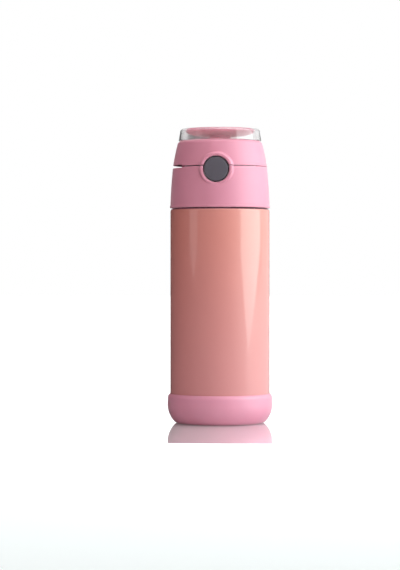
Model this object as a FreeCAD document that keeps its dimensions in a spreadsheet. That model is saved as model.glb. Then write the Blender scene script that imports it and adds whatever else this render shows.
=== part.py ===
import FreeCAD
import Part
import Sketcher
import math
import os

# A child's insulated straw bottle: steel flask, soft boot, screw-on lid, flip cap with a push button.
# The axis is Z, the table is z = 0, and the button faces -Y. Lengths are in millimetres.

SIZES = {
    # Flask
    "body_diameter": 66.0,
    "body_height": 139.7,
    "shell_wall": 0.6,
    "shoulder_width": 7.6,
    "shoulder_round": 2.0,
    "neck_height": 13.8,
    "foot_round": 8.0,
    "base_rim": 3.0,
    "liner_wall": 0.6,
    "vacuum_gap": 2.2,
    "vacuum_floor": 4.8,
    "liner_shoulder": 9.0,
    "base_plate_wall": 0.6,
    "base_plate_dish": 1.2,
    "vacuum_hole": 1.5,
    "bead_diameter": 4.4,
    "bead_depth": 0.9,
    "getter_diameter": 8.0,
    "getter_height": 1.4,
    "getter_place": 11.0,
    # Boot
    "boot_height": 19.4,
    "boot_floor": 2.6,
    "boot_wall": 1.85,
    "boot_widest_height": 12.0,
    "boot_tuck": 3.6,
    "boot_curve": 16.0,
    "boot_lip_round": 0.7,
    "boot_recess": 0.8,
    "boot_foot_ring": 5.4,
    # Lid insert, seal and straw
    "seal_height": 1.3,
    "seal_overhang": 1.1,
    "seal_play": 0.2,
    "thread_room": 1.5,
    "insert_wall": 2.7,
    "insert_web": 1.5,
    "insert_skirt": 12.8,
    "plug_gap": 1.78,
    "plug_wall": 1.2,
    "plug_height": 4.0,
    "spigot_diameter": 5.4,
    "spigot_length": 11.4,
    "nipple_diameter": 6.0,
    "nipple_length": 4.6,
    "flow_bore": 3.4,
    "straw_wall": 1.1,
    "straw_floor_room": 5.4,
    "straw_point": 4.0,
    "valve_place": 13.4,
    "valve_bore": 3.0,
    "valve_head": 6.0,
    "valve_bulb": 4.0,
    "valve_lip": 0.7,
    # Collar
    "collar_gap": 0.3,
    "collar_overhang": 0.3,
    "collar_bead": 1.3,
    "collar_bead_step": 0.3,
    "collar_curve": 300.0,
    "collar_wall": 1.6,
    "collar_ledge": 1.5,
    "collar_relief": 1.2,
    "collar_relief_height": 7.0,
    "deck_drop": 1.6,
    "deck_wall": 2.0,
    "platform_diameter": 36.0,
    "platform_height": 3.3,
    "platform_wall": 1.8,
    "hub_wall": 2.25,
    "seam_gap": 0.5,
    "notch_depth": 0.8,
    "notch_margin": 0.2,
    # Spout
    "spout_diameter": 16.0,
    "spout_flange": 21.0,
    "spout_flange_height": 1.7,
    "spout_neck": 10.0,
    "spout_bulb": 12.4,
    "spout_bore": 3.8,
    # Flip cap
    "cap_height": 17.0,
    "cap_top_diameter": 55.6,
    "cap_curve": 150.0,
    "cap_wall": 1.8,
    "cap_top_round": 1.6,
    "plateau_step": 3.7,
    "plateau_height": 0.5,
    "core_stem": 14.0,
    "core_stem_height": 3.0,
    "core_edge": 0.6,
    "core_curve": 60.0,
    "skirt_gap": 6.1,
    "cap_liner_wall": 1.6,
    "skirt_lift": 0.6,
    "stopper_diameter": 16.0,
    "stopper_height": 2.2,
    "stopper_nub": 2.6,
    "stopper_nub_height": 0.8,
    "dome_step": 0.3,
    "dome_height": 8.0,
    "dome_draft": 1.25,
    "dome_wall": 3.0,
    "dome_roof": 0.9,
    "dome_round": 1.5,
    # Button and latch
    "button_diameter": 15.8,
    "button_gap": 0.75,
    "button_height": 3.5,
    "button_edge": 0.6,
    "button_foot_room": 0.6,
    "seam_above_button": 2.2,
    "boss_proud": 0.4,
    "boss_ring": 1.9,
    "boss_flare": 1.6,
    "button_travel": 2.0,
    "latch_width": 8.4,
    "latch_plate_width": 19.6,
    "latch_plate": 1.0,
    "latch_sled": 7.2,
    "latch_wall": 1.6,
    "latch_hold": 0.8,
    "tooth_reach": 1.2,
    "tooth_height": 2.1,
    "tongue_width": 9.0,
    "tongue_wall": 1.5,
    "button_wire": 0.5,
    "button_coil": 3.2,
    "button_turns": 4.0,
    "spring_rib": 1.5,
    "spring_room": 5.0,
    # Hinge
    "hinge_inset": 0.8,
    "barrel_diameter": 6.4,
    "barrel_relief": 0.5,
    "hinge_setback": 0.25,
    "lug_span": 22.0,
    "knuckle_span": 14.0,
    "knuckle_gap": 7.2,
    "hinge_side_gap": 0.15,
    "pin_diameter": 2.4,
    "hinge_wire": 0.7,
    "hinge_coil": 3.8,
    "hinge_turns": 3.0,
    "hinge_pitch": 1.3,
    "hinge_leg": 4.8,
    # Fits
    "press_fit": 0.02,
    "running_fit": 0.05,
    "loose_fit": 0.1,
    "clearance": 0.3,
}

doc = FreeCAD.newDocument("straw_bottle")
sheet = doc.addObject("Spreadsheet::Sheet", "sizes")
for row, (alias, millimetres) in enumerate(SIZES.items(), start=1):
    sheet.set(f"A{row}", alias)
    sheet.set(f"B{row}", str(millimetres))
    sheet.setAlias(f"B{row}", alias)
doc.recompute()


class Size:
    """A length written as a sum over the sheet's cells, so that what is bound to it follows the sheet."""

    def __init__(self, text):
        self.text = text

    def __add__(self, other):
        return Size(f"({self.text} + {wording(other)})")

    def __radd__(self, other):
        return Size(f"({wording(other)} + {self.text})")

    def __sub__(self, other):
        return Size(f"({self.text} - {wording(other)})")

    def __rsub__(self, other):
        return Size(f"({wording(other)} - {self.text})")

    def __mul__(self, factor):
        return Size(f"({self.text} * {wording(factor)})")

    def __truediv__(self, other):
        return Size(f"({self.text} / {wording(other)})")

    def __neg__(self):
        return Size(f"(0 - {self.text})")

    @property
    def value(self):
        return float(sheet.evalExpression(self.text))


def wording(length):
    return length.text if isinstance(length, Size) else repr(float(length))


def value(length):
    return length.value if isinstance(length, Size) else float(length)


def size(alias):
    if alias not in SIZES:
        raise KeyError(alias)
    return Size("sizes." + alias)


def half(alias):
    return size(alias) / 2


# Sketches

def plane_of(body, role):
    return [item for item in body.Origin.OriginFeatures if item.Role == role][0]


def sketch_on(body, role, offset=None):
    """A sketch on one of the body's own planes, moved along the plane's normal by offset."""
    sketch = body.newObject("Sketcher::SketchObject", body.Label + "_sketch")
    sketch.AttachmentSupport = [(plane_of(body, role), "")]
    sketch.MapMode = "FlatFace"
    if offset is not None:
        sketch.setExpression("AttachmentOffset.Base.z", wording(offset))
    return sketch


def hold(sketch, constraint, length):
    number = sketch.addConstraint(constraint)
    if isinstance(length, Size):
        sketch.setExpression(f"Constraints[{number}]", length.text)


def place(sketch, spot, corner):
    """Fixes a point of the sketch at (x, y) from the sketch's origin."""
    for kind, axis, length in (("DistanceX", -2, corner[0]), ("DistanceY", -1, corner[1])):
        if not isinstance(length, Size) and length == 0:
            sketch.addConstraint(Sketcher.Constraint("PointOnObject", *spot, axis))
        else:
            hold(sketch, Sketcher.Constraint(kind, -1, 1, *spot, value(length)), length)


def arc_between(start, end, turn, radius):
    """The arc under a half circle from start to end; turn is 1 for anticlockwise and -1 for clockwise."""
    chord = end - start
    rise = math.sqrt(max(radius ** 2 - (chord.Length / 2) ** 2, 0.0))
    across = FreeCAD.Vector(-chord.y, chord.x, 0).normalize()
    centre = (start + end) * 0.5 + across * (turn * rise)
    first, last = (start, end) if turn > 0 else (end, start)
    begin = math.atan2(first.y - centre.y, first.x - centre.x)
    finish = math.atan2(last.y - centre.y, last.x - centre.x)
    if finish < begin:
        finish += 2 * math.pi
    circle = Part.Circle(centre, FreeCAD.Vector(0, 0, 1), radius)
    return Part.ArcOfCircle(circle, begin, finish)


def outline(sketch, corners):
    """Draws a closed outline. A corner is (x, y), or (x, y, turn, radius) where an arc leaves it."""
    spots = [FreeCAD.Vector(value(corner[0]), value(corner[1]), 0) for corner in corners]
    heads = []
    tails = []
    for number, corner in enumerate(corners):
        start = spots[number]
        end = spots[(number + 1) % len(spots)]
        if len(corner) == 2:
            edge = sketch.addGeometry(Part.LineSegment(start, end), False)
            turn = 1
        else:
            turn, radius = corner[2:]
            edge = sketch.addGeometry(arc_between(start, end, turn, value(radius)), False)
            hold(sketch, Sketcher.Constraint("Radius", edge, value(radius)), radius)
        heads.append((edge, 1 if turn > 0 else 2))
        tails.append((edge, 2 if turn > 0 else 1))
    for number, head in enumerate(heads):
        sketch.addConstraint(Sketcher.Constraint("Coincident", *tails[number - 1], *head))
        place(sketch, head, corners[number])
    return sketch


def box_outline(sketch, low_x, high_x, low_y, high_y):
    return outline(sketch, [(low_x, low_y), (high_x, low_y), (high_x, high_y), (low_x, high_y)])


def disc_outline(sketch, centre, radius):
    spot = FreeCAD.Vector(value(centre[0]), value(centre[1]), 0)
    circle = sketch.addGeometry(Part.Circle(spot, FreeCAD.Vector(0, 0, 1), value(radius)), False)
    hold(sketch, Sketcher.Constraint("Radius", circle, value(radius)), radius)
    place(sketch, (circle, 3), centre)
    return sketch


# Features

def new_body(label):
    body = doc.addObject("PartDesign::Body", label)
    body.Label = label
    return body


def revolve(body, corners):
    """Turns a closed outline of (radius, height) corners once about Z."""
    sketch = outline(sketch_on(body, "XZ_Plane"), corners)
    feature = body.newObject("PartDesign::Revolution", body.Label + "_revolution")
    feature.Profile = sketch
    feature.ReferenceAxis = (sketch, ["V_Axis"])
    feature.Angle = 360
    sketch.Visibility = False
    return feature


def extrude(body, sketch, length, way, cut=False):
    """Adds or cuts a sketch along its normal ('up'), against it ('down'), or half each way ('both')."""
    kind = "Pocket" if cut else "Pad"
    feature = body.newObject("PartDesign::" + kind, body.Label + "_" + kind.lower())
    feature.Profile = sketch
    feature.setExpression("Length", wording(length))
    if way == "both":
        feature.SideType = "Symmetric"
    else:
        feature.Reversed = (way == "up") if cut else (way == "down")
    sketch.Visibility = False
    return feature


def round_rims(body, radius, rims, kind="Fillet"):
    """Rounds or bevels the full circles about Z whose (radius, height) are named in rims."""
    doc.recompute()
    base = body.Tip
    wanted = [(value(across), value(height)) for across, height in rims]
    names = []
    for number, edge in enumerate(base.Shape.Edges, start=1):
        curve = edge.Curve
        if curve.TypeId != "Part::GeomCircle":
            continue
        for across, height in wanted:
            if abs(curve.Radius - across) < 0.01 and abs(curve.Center.z - height) < 0.01:
                names.append(f"Edge{number}")
    if len(names) < len(wanted):
        raise RuntimeError(f"{body.Label}: a rim to round was not found")
    feature = body.newObject("PartDesign::" + kind, body.Label + "_" + kind.lower())
    feature.Base = (base, names)
    feature.setExpression("Radius" if kind == "Fillet" else "Size", wording(radius))
    return feature


# Heights and radii shared by several pieces

body_radius = half("body_diameter")
shell_inside = body_radius - size("shell_wall")
neck_radius = body_radius - size("shoulder_width")
neck_inside = neck_radius - size("shell_wall")
liner_radius = shell_inside - size("vacuum_gap")
liner_inside = liner_radius - size("liner_wall")
liner_neck = neck_inside - size("press_fit")
liner_mouth = liner_neck - size("liner_wall")

base_hole = body_radius - size("foot_round") - size("base_rim")
plug_outside = liner_mouth - size("plug_gap")

shell_bottom = size("boot_floor")
shell_floor = shell_bottom + size("shell_wall")
shoulder_top = shell_bottom + size("body_height")
mouth_top = shoulder_top + size("neck_height")
liner_bottom = shell_floor + size("vacuum_floor")
liner_floor = liner_bottom + size("liner_wall")

seal_top = mouth_top + size("seal_height")
web_top = seal_top + size("insert_web")
insert_bore = neck_radius + size("thread_room")
insert_radius = insert_bore + size("insert_wall")

button_radius = half("button_diameter")
button_z = web_top + size("button_foot_room") + button_radius
collar_bottom = shoulder_top + size("collar_gap")
collar_top = button_z + size("seam_above_button")
collar_foot = body_radius + size("collar_overhang")
collar_bore = insert_radius + size("loose_fit")
collar_rim = collar_bore + size("collar_wall")
ledge_radius = collar_bore - size("collar_ledge")
deck_top = collar_top - size("deck_drop")
deck_under = deck_top - size("deck_wall")
platform_top = deck_top + size("platform_height")
flange_top = web_top + size("spout_flange_height")
hub_bore = half("spout_diameter") + size("running_fit")

cap_bottom = collar_top + size("seam_gap")
cap_top = cap_bottom + size("cap_height")
cap_foot = collar_rim
cap_rim = half("cap_top_diameter")
cap_under = cap_top - size("cap_wall")
roof_under = cap_under - size("cap_liner_wall")
skirt_radius = collar_bore - size("skirt_gap")
skirt_inside = skirt_radius - size("cap_liner_wall")
skirt_bottom = deck_top + size("skirt_lift")
stopper_under = roof_under - size("stopper_height")
spout_tip = stopper_under - size("clearance")
cap_slope = (cap_foot - cap_rim) / size("cap_height")
dome_foot = cap_rim - size("dome_step")
dome_rim = dome_foot - size("dome_draft")
dome_top = cap_top + size("dome_height")
dome_under = dome_top - size("dome_roof")

# Distances in front of the axis for the button and its latch
boss_face = collar_rim + size("boss_proud") + size("boss_ring") / 3
button_face = boss_face - size("boss_proud")
plate_front = button_face - size("button_height")
plate_back = plate_front - size("latch_plate")
post_back = plate_back - size("latch_sled")
post_front = post_back + size("latch_wall")
hook_front = post_front + size("tooth_reach")
tongue_tooth = hook_front - size("latch_hold")
tongue_back = tongue_tooth + size("tooth_reach")
tongue_front = tongue_back + size("tongue_wall")
rib_front = post_back - size("spring_room")
hole_radius = button_radius + size("button_gap")
boss_radius = hole_radius + size("boss_ring")
boss_root = boss_radius + size("boss_flare")
slide_bottom = web_top + size("clearance")
sled_top = slide_bottom + size("latch_wall")
hook_bottom = deck_top - size("tooth_height") - size("skirt_lift")
tongue_tooth_top = hook_bottom - size("clearance")
tongue_bottom = tongue_tooth_top - size("latch_wall")
spring_z = (sled_top + deck_under) / 2

hinge_y = collar_rim - size("hinge_inset")
hinge_z = collar_top + size("seam_gap") / 2
barrel_radius = half("barrel_diameter")
relief_radius = barrel_radius + size("barrel_relief")


# Flask

def outer_shell():
    """Spun steel shell: open base, straight wall, rolled shoulder and neck."""
    body = new_body("outer_shell")
    foot = size("foot_round")
    bend = size("shoulder_round")
    wall = size("shell_wall")
    revolve(body, [
        (base_hole, shell_bottom),
        (body_radius - foot, shell_bottom, 1, foot),
        (body_radius, shell_bottom + foot),
        (body_radius, shoulder_top - bend, 1, bend),
        (body_radius - bend, shoulder_top),
        (neck_radius, shoulder_top),
        (neck_radius, mouth_top),
        (neck_inside, mouth_top),
        (neck_inside, shoulder_top - wall),
        (body_radius - bend, shoulder_top - wall, -1, bend - wall),
        (shell_inside, shoulder_top - bend),
        (shell_inside, shell_bottom + foot, -1, foot - wall),
        (body_radius - foot, shell_floor),
        (base_hole, shell_floor),
    ])
    return body


def inner_liner():
    """Inner cup that holds the drink, joined to the shell along the neck."""
    body = new_body("inner_liner")
    bend = size("foot_round")
    wall = size("liner_wall")
    cone_top = shoulder_top - size("shell_wall") - size("vacuum_gap")
    cone_foot = cone_top - size("liner_shoulder")
    revolve(body, [
        (0, liner_bottom),
        (liner_radius - bend, liner_bottom, 1, bend),
        (liner_radius, liner_bottom + bend),
        (liner_radius, cone_foot),
        (liner_neck, cone_top),
        (liner_neck, mouth_top),
        (liner_mouth, mouth_top),
        (liner_mouth, cone_top - wall / 2),
        (liner_inside, cone_foot - wall / 2),
        (liner_inside, liner_bottom + bend, -1, bend - wall),
        (liner_radius - bend, liner_floor),
        (0, liner_floor),
    ])
    return body


def base_plate():
    """Dished plate that closes the shell from inside, with the hole the vacuum was drawn through."""
    body = new_body("base_plate")
    wall = size("base_plate_wall")
    dish = size("base_plate_dish")
    rim = base_hole + size("base_rim") * 0.8
    slope = base_hole - dish * 2
    hole = half("vacuum_hole")
    revolve(body, [
        (hole, shell_floor + dish),
        (slope, shell_floor + dish),
        (slope + dish, shell_floor),
        (rim, shell_floor),
        (rim, shell_floor + wall),
        (slope + dish + wall / 2, shell_floor + wall),
        (slope + wall / 2, shell_floor + dish + wall),
        (hole, shell_floor + dish + wall),
    ])
    return body


def vacuum_seal_bead():
    """Drop of solder glass that plugs the hole in the base plate."""
    body = new_body("vacuum_seal_bead")
    face = shell_floor + size("base_plate_dish")
    across = half("bead_diameter")
    depth = size("bead_depth")
    stem = half("vacuum_hole") - size("press_fit")
    bow = (across * across + depth * depth) / (depth * 2)
    revolve(body, [
        (0, face - depth, 1, bow),
        (across, face),
        (stem, face),
        (stem, face + size("base_plate_wall")),
        (0, face + size("base_plate_wall")),
    ])
    return body


def getter():
    """Small pill on the base plate that soaks up the last gas in the vacuum."""
    pill = doc.addObject("Part::Cylinder", "getter")
    pill.Label = "getter"
    pill.setExpression("Radius", half("getter_diameter").text)
    pill.setExpression("Height", size("getter_height").text)
    pill.setExpression("Placement.Base.x", size("getter_place").text)
    seat = shell_floor + size("base_plate_dish") + size("base_plate_wall")
    pill.setExpression("Placement.Base.z", seat.text)
    return pill


def boot():
    """Soft silicone foot that grips the bottom of the flask."""
    body = new_body("boot")
    inside = body_radius + size("press_fit")
    outside = inside + size("boot_wall")
    lip = outside - 0.15
    top = size("boot_height")
    edge = size("boot_lip_round")
    foot = size("foot_round")
    ground = body_radius - size("boot_tuck")
    recess = ground - size("boot_foot_ring")
    revolve(body, [
        (0, size("boot_recess")),
        (recess, size("boot_recess")),
        (recess + size("boot_recess"), 0),
        (ground, 0, 1, size("boot_curve")),
        (outside, size("boot_widest_height")),
        (lip, top - edge, 1, edge),
        (lip - edge, top),
        (inside, top),
        (inside, shell_bottom + foot, -1, foot),
        (inside - foot, shell_bottom),
        (0, shell_bottom),
    ])
    return body


# Lid pieces that turn with the collar

def neck_seal():
    """Silicone ring squeezed between the mouth and the lid insert."""
    body = new_body("neck_seal")
    inside = plug_outside + size("seal_play")
    outside = neck_radius + size("seal_overhang")
    revolve(body, [
        (inside, mouth_top),
        (outside, mouth_top),
        (outside, seal_top),
        (inside, seal_top),
    ])
    return body


def straw():
    """Silicone straw pushed over the insert's spigot, with a pointed lower end."""
    body = new_body("straw")
    bore = half("spigot_diameter") + size("running_fit")
    outside = bore + size("straw_wall")
    bottom = liner_floor + size("straw_floor_room")
    revolve(body, [
        (bore, bottom),
        (outside, bottom),
        (outside, seal_top - size("clearance")),
        (bore, seal_top - size("clearance")),
    ])
    reach = outside + size("clearance")
    point = outline(sketch_on(body, "XZ_Plane"), [
        (-reach, bottom - size("clearance")),
        (outside * 0.4, bottom - size("clearance")),
        (-reach, bottom + size("straw_point")),
    ])
    extrude(body, point, reach * 2, "both", cut=True)
    return body


def lid_insert():
    """Threaded inner lid: skirt over the neck, web over the mouth, plug ring, spigot and nipple."""
    body = new_body("lid_insert")
    bore = half("flow_bore")
    spigot = half("spigot_diameter")
    nipple = half("nipple_diameter")
    plug_inside = plug_outside - size("plug_wall")
    plug_bottom = seal_top - size("plug_height")
    skirt_foot = seal_top - size("insert_skirt")
    revolve(body, [
        (bore, seal_top - size("spigot_length")),
        (spigot, seal_top - size("spigot_length")),
        (spigot, seal_top),
        (plug_inside, seal_top),
        (plug_inside, plug_bottom),
        (plug_outside, plug_bottom),
        (plug_outside, seal_top),
        (insert_bore, seal_top),
        (insert_bore, skirt_foot),
        (insert_radius, skirt_foot),
        (insert_radius, web_top),
        (nipple, web_top),
        (nipple, web_top + size("nipple_length")),
        (bore, web_top + size("nipple_length")),
    ])
    vent = sketch_on(body, "XY_Plane", seal_top - size("clearance"))
    disc_outline(vent, (0, size("valve_place")), half("valve_bore"))
    extrude(body, vent, size("insert_web") + size("clearance") * 2, "up", cut=True)
    return body


def vent_valve():
    """Mushroom valve that lets air back into the flask through the insert's web."""
    body = new_body("vent_valve")
    stem = half("valve_bore") - size("press_fit")
    head = half("valve_head")
    bulb = half("valve_bulb")
    lip = size("valve_lip")
    revolve(body, [
        (0, seal_top - lip),
        (head, seal_top - lip / 2),
        (head, seal_top),
        (stem, seal_top),
        (stem, web_top),
        (bulb, web_top),
        (bulb, web_top + lip),
        (bulb / 2, web_top + lip * 2),
        (0, web_top + lip * 2),
    ])
    body.setExpression("Placement.Base.y", size("valve_place").text)
    return body


def spout():
    """Silicone mouthpiece held under the collar's hub."""
    body = new_body("spout")
    bore = half("spout_bore")
    socket = half("nipple_diameter") + size("press_fit")
    socket_top = web_top + size("nipple_length") + size("clearance")
    wide = half("spout_diameter")
    neck = half("spout_neck")
    bulb = half("spout_bulb")
    shoulder = platform_top + size("skirt_lift")
    bulb_z = spout_tip - (bulb - neck) * 2
    revolve(body, [
        (socket, web_top),
        (half("spout_flange"), web_top),
        (half("spout_flange"), flange_top),
        (wide, flange_top),
        (wide, shoulder, 1, wide - neck),
        (neck, shoulder + (wide - neck)),
        (neck, bulb_z - (bulb - neck) * 2),
        (bulb, bulb_z - (bulb - neck) / 2),
        (bulb, bulb_z, 1, (bulb - neck) * 2),
        (bulb - (bulb - neck) * 2, spout_tip),
        (bore, spout_tip),
        (bore, socket_top),
        (socket, socket_top),
    ])
    return body


def hinge_profile(body, corners, span):
    """A block across the hinge, from a side outline of (y, z) corners."""
    block = outline(sketch_on(body, "YZ_Plane"), corners)
    extrude(body, block, span, "both")


def hinge_bore(body, radius, span):
    bore = disc_outline(sketch_on(body, "YZ_Plane"), (hinge_y, hinge_z), radius)
    extrude(body, bore, span, "both", cut=True)


def front_boss(body, root):
    """Raised ring round the button, flaring from its flat face down to the wall at distance root."""
    sketch = sketch_on(body, "XZ_Plane", root)
    depth = boss_face - root
    flare = size("boss_flare") * (depth / (boss_face - collar_bore + size("collar_wall")))
    disc_outline(sketch, (0, button_z), boss_radius + flare)
    boss = extrude(body, sketch, depth, "up")
    slope = math.degrees(math.atan2(value(flare), value(depth)))
    boss.TaperAngle = -slope


def side_notch(body, low, high):
    """Straight slot across the left side of the seam."""
    notch = sketch_on(body, "XY_Plane", low)
    reach = collar_foot
    box_outline(notch, -reach, -(skirt_radius - size("notch_margin")), -reach, reach)
    extrude(body, notch, high - low, "up", cut=True)


def collar():
    """Screw-on ring: outer wall, deck, spout hub, latch chamber and hinge lugs."""
    body = new_body("collar")
    bead = size("collar_bead")
    step = size("collar_bead_step")
    edge = step * 1.5
    relief_top = collar_bottom + size("collar_relief_height")
    hub_outside = hub_bore + size("hub_wall")
    platform = half("platform_diameter")
    platform_inside = platform - size("platform_wall")
    platform_under = platform_top - size("deck_wall")
    revolve(body, [
        (collar_bore + size("collar_relief"), collar_bottom),
        (collar_foot - edge, collar_bottom, 1, edge),
        (collar_foot, collar_bottom + edge),
        (collar_foot, collar_bottom + bead),
        (collar_foot - step, collar_bottom + bead + step, 1, size("collar_curve")),
        (collar_rim, collar_top),
        (collar_bore, collar_top),
        (collar_bore, deck_top),
        (platform, deck_top),
        (platform, platform_top),
        (hub_bore, platform_top),
        (hub_bore, flange_top),
        (hub_outside, flange_top),
        (hub_outside, platform_under),
        (platform_inside, platform_under),
        (platform_inside, deck_under),
        (ledge_radius, deck_under),
        (ledge_radius, web_top),
        (collar_bore, web_top),
        (collar_bore, relief_top),
        (collar_bore + size("collar_relief"), relief_top - size("collar_relief")),
    ])

    front_boss(body, collar_bore - size("collar_ledge") / 3)
    bore = disc_outline(sketch_on(body, "XY_Plane", relief_top), (0, 0), collar_bore)
    extrude(body, bore, web_top - relief_top, "up", cut=True)
    seam = sketch_on(body, "XY_Plane", collar_top)
    box_outline(seam, -boss_root * 1.2, boss_root * 1.2, -boss_face * 1.1, -collar_bore * 0.9)
    extrude(body, seam, boss_root * 1.5, "up", cut=True)

    inner = hinge_y - barrel_radius
    outer = hinge_y + barrel_radius
    foot = deck_under - size("deck_wall") * 2.5
    hinge_profile(body, [
        (inner, foot),
        (hinge_y - barrel_radius / 3, foot),
        (outer - size("clearance"), hinge_z - barrel_radius / 2),
        (outer, hinge_z, 1, barrel_radius),
        (hinge_y, hinge_z + barrel_radius, 1, barrel_radius),
        (inner, hinge_z),
    ], size("lug_span"))
    knuckle_room = size("knuckle_span") + size("hinge_side_gap") * 2
    hinge_bore(body, relief_radius, knuckle_room)
    window_bottom = deck_under - size("clearance") * 2
    window = sketch_on(body, "XY_Plane", window_bottom)
    setback = collar_rim + size("hinge_setback")
    box_outline(window, -knuckle_room / 2, knuckle_room / 2, setback, outer + barrel_radius)
    extrude(body, window, hinge_z - window_bottom, "up", cut=True)
    hinge_bore(body, half("pin_diameter"), size("lug_span") * 1.1)

    hole = sketch_on(body, "XZ_Plane", plate_front - size("button_travel") - size("clearance"))
    disc_outline(hole, (0, button_z), hole_radius)
    extrude(body, hole, size("button_height") * 3, "up", cut=True)

    chamber = sketch_on(body, "XY_Plane", web_top)
    side = half("latch_plate_width") + size("clearance")
    box_outline(chamber, -side, side, -plate_front - size("clearance"), -hub_outside - size("clearance"))
    extrude(body, chamber, deck_under - web_top, "up", cut=True)

    slot = sketch_on(body, "XY_Plane", deck_under)
    slot_side = half("tongue_width") + size("clearance") * 2
    slot_back = post_back - size("button_travel") - size("clearance")
    box_outline(slot, -slot_side, slot_side, -tongue_front - size("clearance") * 2, -slot_back)
    extrude(body, slot, size("deck_wall"), "up", cut=True)

    rib = sketch_on(body, "XY_Plane", sled_top + size("clearance"))
    rib_side = half("latch_width") * 1.4
    box_outline(rib, -rib_side, rib_side, -rib_front, -rib_front + size("spring_rib"))
    extrude(body, rib, platform_under - sled_top, "up")

    vent = disc_outline(sketch_on(body, "XY_Plane", platform_under), (0, size("valve_place")), half("valve_bore"))
    extrude(body, vent, size("deck_wall"), "up", cut=True)
    side_notch(body, collar_top - size("notch_depth"), collar_top + size("clearance"))
    return body


def hinge_pin():
    """Steel pin through the lugs and knuckles."""
    body = new_body("hinge_pin")
    sketch = disc_outline(sketch_on(body, "YZ_Plane"), (hinge_y, hinge_z), half("pin_diameter"))
    extrude(body, sketch, size("lug_span"), "both")
    return body


# Flip cap

def cap_shell():
    """Tapered flip cap with the upper half of the button ring, the hinge knuckles and a dished core on top."""
    body = new_body("cap_shell")
    wall = size("cap_wall")
    plateau = cap_rim - size("plateau_step")
    plateau_top = cap_top + size("plateau_height")
    stem = half("core_stem")
    core = dome_rim - size("dome_wall") - size("clearance") * 2
    core_top = dome_under - size("clearance")
    revolve(body, [
        (cap_foot - wall, cap_bottom),
        (cap_foot, cap_bottom, 1, size("cap_curve")),
        (cap_rim, cap_top),
        (plateau, cap_top),
        (plateau, plateau_top),
        (stem, plateau_top),
        (stem, plateau_top + size("core_stem_height"), 1, size("core_curve")),
        (core, core_top - size("core_edge")),
        (core, core_top),
        (0, core_top),
        (0, cap_under),
        (cap_rim - wall + cap_slope * wall, cap_under),
    ])
    round_rims(body, size("cap_top_round"), [(cap_rim, cap_top)])

    front_boss(body, collar_bore - size("collar_wall"))
    seam = sketch_on(body, "XY_Plane", cap_bottom)
    box_outline(seam, -boss_root * 1.2, boss_root * 1.2, -boss_face * 1.1, -collar_bore * 0.8)
    extrude(body, seam, boss_root * 1.5, "down", cut=True)

    hinge_bore(body, relief_radius, size("lug_span") + size("clearance") * 3)
    inner = hinge_y - barrel_radius
    outer = hinge_y + barrel_radius
    web_high = cap_bottom + size("cap_height") / 2
    hinge_profile(body, [
        (inner, hinge_z, 1, barrel_radius),
        (hinge_y, hinge_z - barrel_radius, 1, barrel_radius),
        (outer, hinge_z),
        (outer - size("clearance"), hinge_z + barrel_radius / 2),
        (cap_foot - cap_slope * size("cap_height") / 2, web_high),
        (cap_foot - cap_slope * size("cap_height") / 2 - wall * 0.8, web_high),
        (inner + wall / 3, hinge_z + barrel_radius),
    ], size("knuckle_span"))
    hinge_bore(body, relief_radius, size("knuckle_gap"))
    hinge_bore(body, half("pin_diameter") + size("running_fit"), size("lug_span") * 1.1)

    hole = sketch_on(body, "XZ_Plane", plate_front - size("button_travel") - size("clearance"))
    disc_outline(hole, (0, button_z), hole_radius)
    extrude(body, hole, size("button_height") * 3, "up", cut=True)
    side_notch(body, cap_bottom - size("clearance"), cap_bottom + size("notch_depth"))
    return body


def cap_liner():
    """Inner cup of the cap, with the tongue that the latch holds."""
    body = new_body("cap_liner")
    flange = cap_rim - size("cap_wall") + cap_slope * size("cap_wall") - size("loose_fit")
    revolve(body, [
        (0, roof_under),
        (skirt_inside, roof_under),
        (skirt_inside, skirt_bottom),
        (skirt_radius, skirt_bottom),
        (skirt_radius, roof_under),
        (flange, roof_under),
        (flange, cap_under),
        (0, cap_under),
    ])
    root_top = skirt_bottom + size("latch_sled")
    tongue = outline(sketch_on(body, "YZ_Plane"), [
        (-tongue_front, root_top),
        (-tongue_front, tongue_bottom),
        (-tongue_back, tongue_bottom),
        (-tongue_tooth, tongue_bottom + size("tooth_reach") / 2),
        (-tongue_tooth, tongue_tooth_top),
        (-tongue_back, tongue_tooth_top),
        (-tongue_back, skirt_bottom),
        (-skirt_inside, skirt_bottom),
        (-skirt_inside, root_top),
    ])
    extrude(body, tongue, size("tongue_width"), "both")
    return body


def spout_stopper():
    """Silicone pad under the cap's roof, whose nub closes the drinking hole."""
    body = new_body("spout_stopper")
    nub = half("stopper_nub")
    across = half("stopper_diameter")
    revolve(body, [
        (0, stopper_under - size("stopper_nub_height")),
        (nub, stopper_under - size("stopper_nub_height")),
        (nub, stopper_under),
        (across, stopper_under),
        (across, roof_under),
        (0, roof_under),
    ])
    return body


def clear_dome():
    """Clear hollow lens over the cap's plateau and core."""
    body = new_body("clear_dome")
    wall = size("dome_wall")
    revolve(body, [
        (dome_foot - wall, cap_top),
        (dome_foot, cap_top),
        (dome_rim, dome_top),
        (0, dome_top),
        (0, dome_under),
        (dome_rim - wall, dome_under),
    ])
    round_rims(body, size("dome_round"), [(dome_rim, dome_top)])
    return body


# Button and latch

def button_cap():
    """Round push button."""
    body = new_body("button_cap")
    sketch = disc_outline(sketch_on(body, "XZ_Plane", plate_front), (0, button_z), button_radius)
    extrude(body, sketch, size("button_height"), "up")
    doc.recompute()
    face = -value(button_face)
    names = []
    for number, edge in enumerate(body.Tip.Shape.Edges, start=1):
        if edge.Curve.TypeId == "Part::GeomCircle" and abs(edge.Curve.Center.y - face) < 0.01:
            names.append(f"Edge{number}")
    disc = body.Tip
    bevel = body.newObject("PartDesign::Chamfer", "button_cap_chamfer")
    bevel.Base = (disc, names)
    bevel.setExpression("Size", size("button_edge").text)
    return body


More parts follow.
